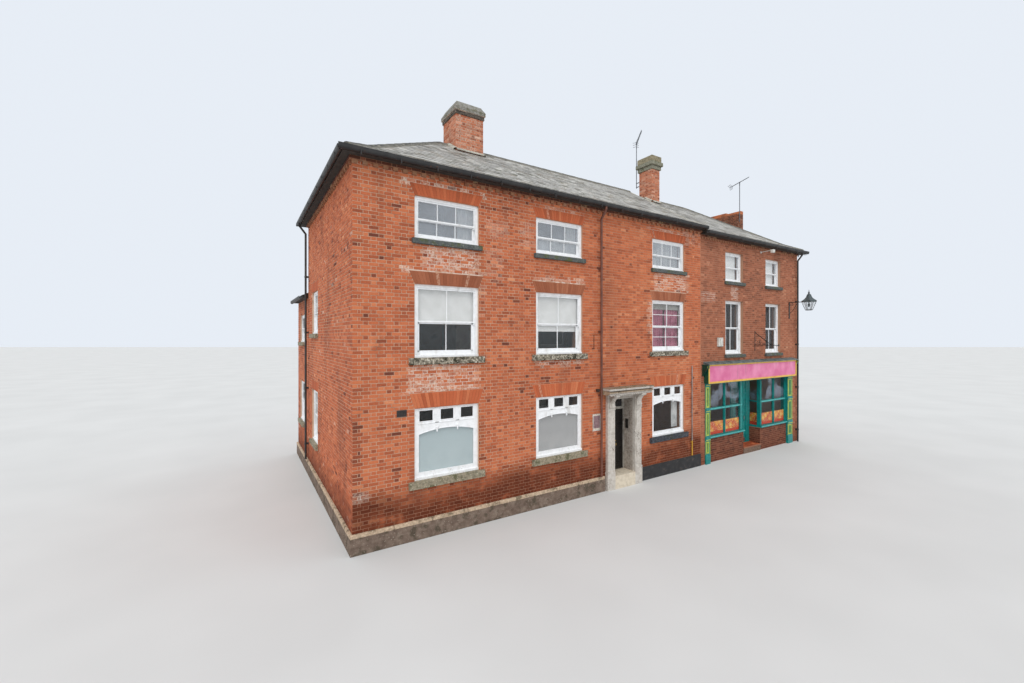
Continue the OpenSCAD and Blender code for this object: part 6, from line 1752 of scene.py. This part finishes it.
parts.append(turned("lamp_holder", (*LAMP, 5.93), [(0.018, 0), (0.03, 0.01), (0.045, 0.05), (0.05, 0.09),
    (0.03, 0.15), (0.018, 0.17), (0.018, 0.24)], alloy, 12))
lantern = one_piece("street_lantern", parts)
eased("lantern_plate", [((18.435, -0.022, 5.46), (18.525, 0.0, 6.19)),
    ((18.44, -0.026, 5.50), (18.52, -0.004, 5.54)), ((18.44, -0.026, 6.13), (18.52, -0.004, 6.17)),
    ((18.462, -0.03, 5.62), (18.498, -0.006, 5.66)), ((18.462, -0.03, 6.02), (18.498, -0.006, 6.06))],
    0.004, black_iron)
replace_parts(lantern, "wall_lantern")
panes = begin("lantern_panes", bpy.ops.mesh.primitive_cone_add, vertices=6, radius1=0.122, radius2=0.256,
    depth=0.34, end_fill_type="NOTHING", location=(*LAMP, 5.98))
edit_all()
bpy.ops.transform.rotate(value=radians(90), orient_axis="Z", center_override=(*LAMP, 5.98))
mode("OBJECT")
bpy.ops.object.transform_apply()
applied(panes, "SOLIDIFY", thickness=0.003)
panes.data.materials.append(lantern_pane)
settle(panes)

# Sign bracket
# A flat wrought bar on a wall plate, held by a scrolled stay, with two rings where a sign hung.
dress(black_iron, "sign_bracket")
parts = []
for y in (-0.30, -0.86):
    ring = [(15.70, y + 0.02 * cos(radians(a)), 4.296 + 0.022 * sin(radians(a)))
        for a in range(0, 360, 24)]
    parts.append(rod("ring", ring, 0.005, black_iron, closed=True, sides=1))
for start, centre, size, turns in ((200, (-0.16, 4.44), 0.085, 1), (20, (-0.36, 4.385), 0.055, -1)):
    curl = []
    for i in range(24):
        turn = radians(start + turns * i * 20)
        reach = size * (1 - i * 0.030)
        curl.append((15.70, centre[0] + reach * cos(turn), centre[1] + reach * sin(turn)))
    parts.append(rod("curl", curl, 0.007, black_iron, sides=1))
parts.append(turned("tip", (15.70, -0.928, 4.332), [(0.004, -0.036), (0.018, -0.026), (0.022, 0),
    (0.018, 0.026), (0.004, 0.036)], black_iron, 10))
one_piece("bracket_scrolls", parts)
eased("bracket_bolts", [((15.684, -0.024, z), (15.716, -0.008, z + 0.03)) for z in (4.14, 4.50, 4.84)],
    0.004, black_iron)

# Wall fittings
# A plain alarm box, a bare plaque, an iron vent, the conduit with its yellow foot, a rusty hook, a small
# lamp by the downpipe and one on an arm under the eaves.
fitting = finish("wall_fittings", 0.5, Specular_IOR_Level=0.4)
east, up = east_and_up(fitting)
pale = steps(fitting, grain(fitting, 0.1, 4), [(0.35, (196, 194, 186)), (0.65, (224, 222, 216))])
grimy = over(fitting, band(fitting, grain(fitting, 0.05, 5, (1, 1, 0.3)), 0.54, 0.7), pale,
    (148, 140, 128))
dark = steps(fitting, grain(fitting, 0.04, 4), [(0.35, (42, 36, 34)), (0.65, (70, 56, 50))])
west = band(fitting, east, 1.4, 1.3)
bits = times(fitting, band(fitting, east, 6.74, 6.76), times(fitting, band(fitting, east, 7.4, 7.3),
    band(fitting, up, 2.9, 2.95)))
colour = over(fitting, sums(fitting, "ADD", west, bits), grimy, dark)
tube = times(fitting, band(fitting, east, 11.3, 11.35), band(fitting, east, 11.75, 11.7))
grey = steps(fitting, grain(fitting, 0.2, 4), [(0.35, (128, 114, 108)), (0.65, (158, 148, 144))])
colour = over(fitting, tube, colour, grey)
foot = times(fitting, tube, band(fitting, up, 1.0, 0.98))
colour = over(fitting, foot, colour, (206, 158, 52))
coat(fitting, colour, grain(fitting, 0.02, 3), 0.0008)
dress(fitting, "wall_fittings")
eased("alarm_box_front", [((13.112, -0.078, 4.312), (13.388, -0.068, 4.62)),
    ((13.16, -0.083, 4.34), (13.34, -0.076, 4.40))], 0.005, fitting)
alarm_dark = iron("alarm_base", (52, 50, 50), (70, 66, 64), (88, 76, 66))
eased("alarm_box_foot", [((13.13, -0.074, 4.285), (13.37, -0.004, 4.302))], 0.004, alarm_dark)
plaque = finish("bare_plaque", 0.55)
up = east_and_up(plaque)[1]
inner = times(plaque, band(plaque, up, 1.93, 1.935), band(plaque, up, 2.305, 2.30))
coat(plaque, over(plaque, inner, steps(plaque, grain(plaque, 0.06, 4),
    [(0.35, (196, 182, 164)), (0.65, (222, 212, 198))]), steps(plaque, grain(plaque, 0.06, 4),
    [(0.35, (120, 92, 98)), (0.65, (156, 126, 128))])), grain(plaque, 0.02, 3), 0.0006)
eased("plaque_face", [((6.872, -0.026, 1.872), (7.128, -0.019, 2.328))], 0.003, plaque)
vent_blocks = [((0.955 + i * 0.0185, -0.022, 2.862), (0.955 + i * 0.0185 + 0.009, -0.012, 2.988))
    for i in range(12)]
vent_blocks += [((0.948, -0.021, 2.851), (1.182, -0.011, 2.866)),
    ((0.948, -0.021, 2.984), (1.182, -0.011, 2.999))]
eased("vent_bars", vent_blocks, 0.0015, alarm_dark)
parts = []
for i in range(3):
    z = 0.60 + 3.16 * 0.15 + i * 1.05
    parts.append(rod("saddle", [(11.52, -0.020, z), (11.52, -0.066, z), (11.58, -0.066, z),
        (11.58, -0.020, z)], 0.004, alarm_dark, sides=1))
one_piece("conduit_saddles", parts)

# Floor, daylight and sizes
# A plain pale floor under soft even daylight, with one broad weak sun for the shape of things.
ground = begin("studio_floor", bpy.ops.mesh.primitive_plane_add, size=1200, location=(8, 3, -0.002))
ground.data.materials.append(mottled("pale_floor", 0.9, (3.0, 2),
    [(0.3, (206.4144, 206.4144, 205.6719)), (0.7, (212.2323, 212.2323, 211.5165))],
    Specular_IOR_Level=0.1))
ground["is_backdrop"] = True
sky = bpy.data.worlds.new("soft_sky")
bpy.context.scene.world = sky
sky.use_nodes = True
links = sky.node_tree.links
light = sky.node_tree.nodes["Background"]
light.inputs["Color"].default_value = (0.93, 0.965, 1.0, 1)
light.inputs["Strength"].default_value = 0.98
seen = sky.node_tree.nodes.new("ShaderNodeBackground")
seen.inputs["Color"].default_value = (0.80, 0.85, 0.92, 1)
seen.inputs["Strength"].default_value = 1.0
path = sky.node_tree.nodes.new("ShaderNodeLightPath")
either = sky.node_tree.nodes.new("ShaderNodeMixShader")
links.new(path.outputs["Is Camera Ray"], either.inputs[0])
links.new(light.outputs[0], either.inputs[1])
links.new(seen.outputs[0], either.inputs[2])
links.new(either.outputs[0], sky.node_tree.nodes["World Output"].inputs["Surface"])
bpy.ops.object.light_add(type="SUN", location=(-10, -20, 30), rotation=(radians(42), 0, radians(-38)))
sun = bpy.context.object
sun.data.energy = 1.1
sun.data.angle = radians(35)
sun.data.color = (1.0, 0.97, 0.93)
low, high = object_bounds()
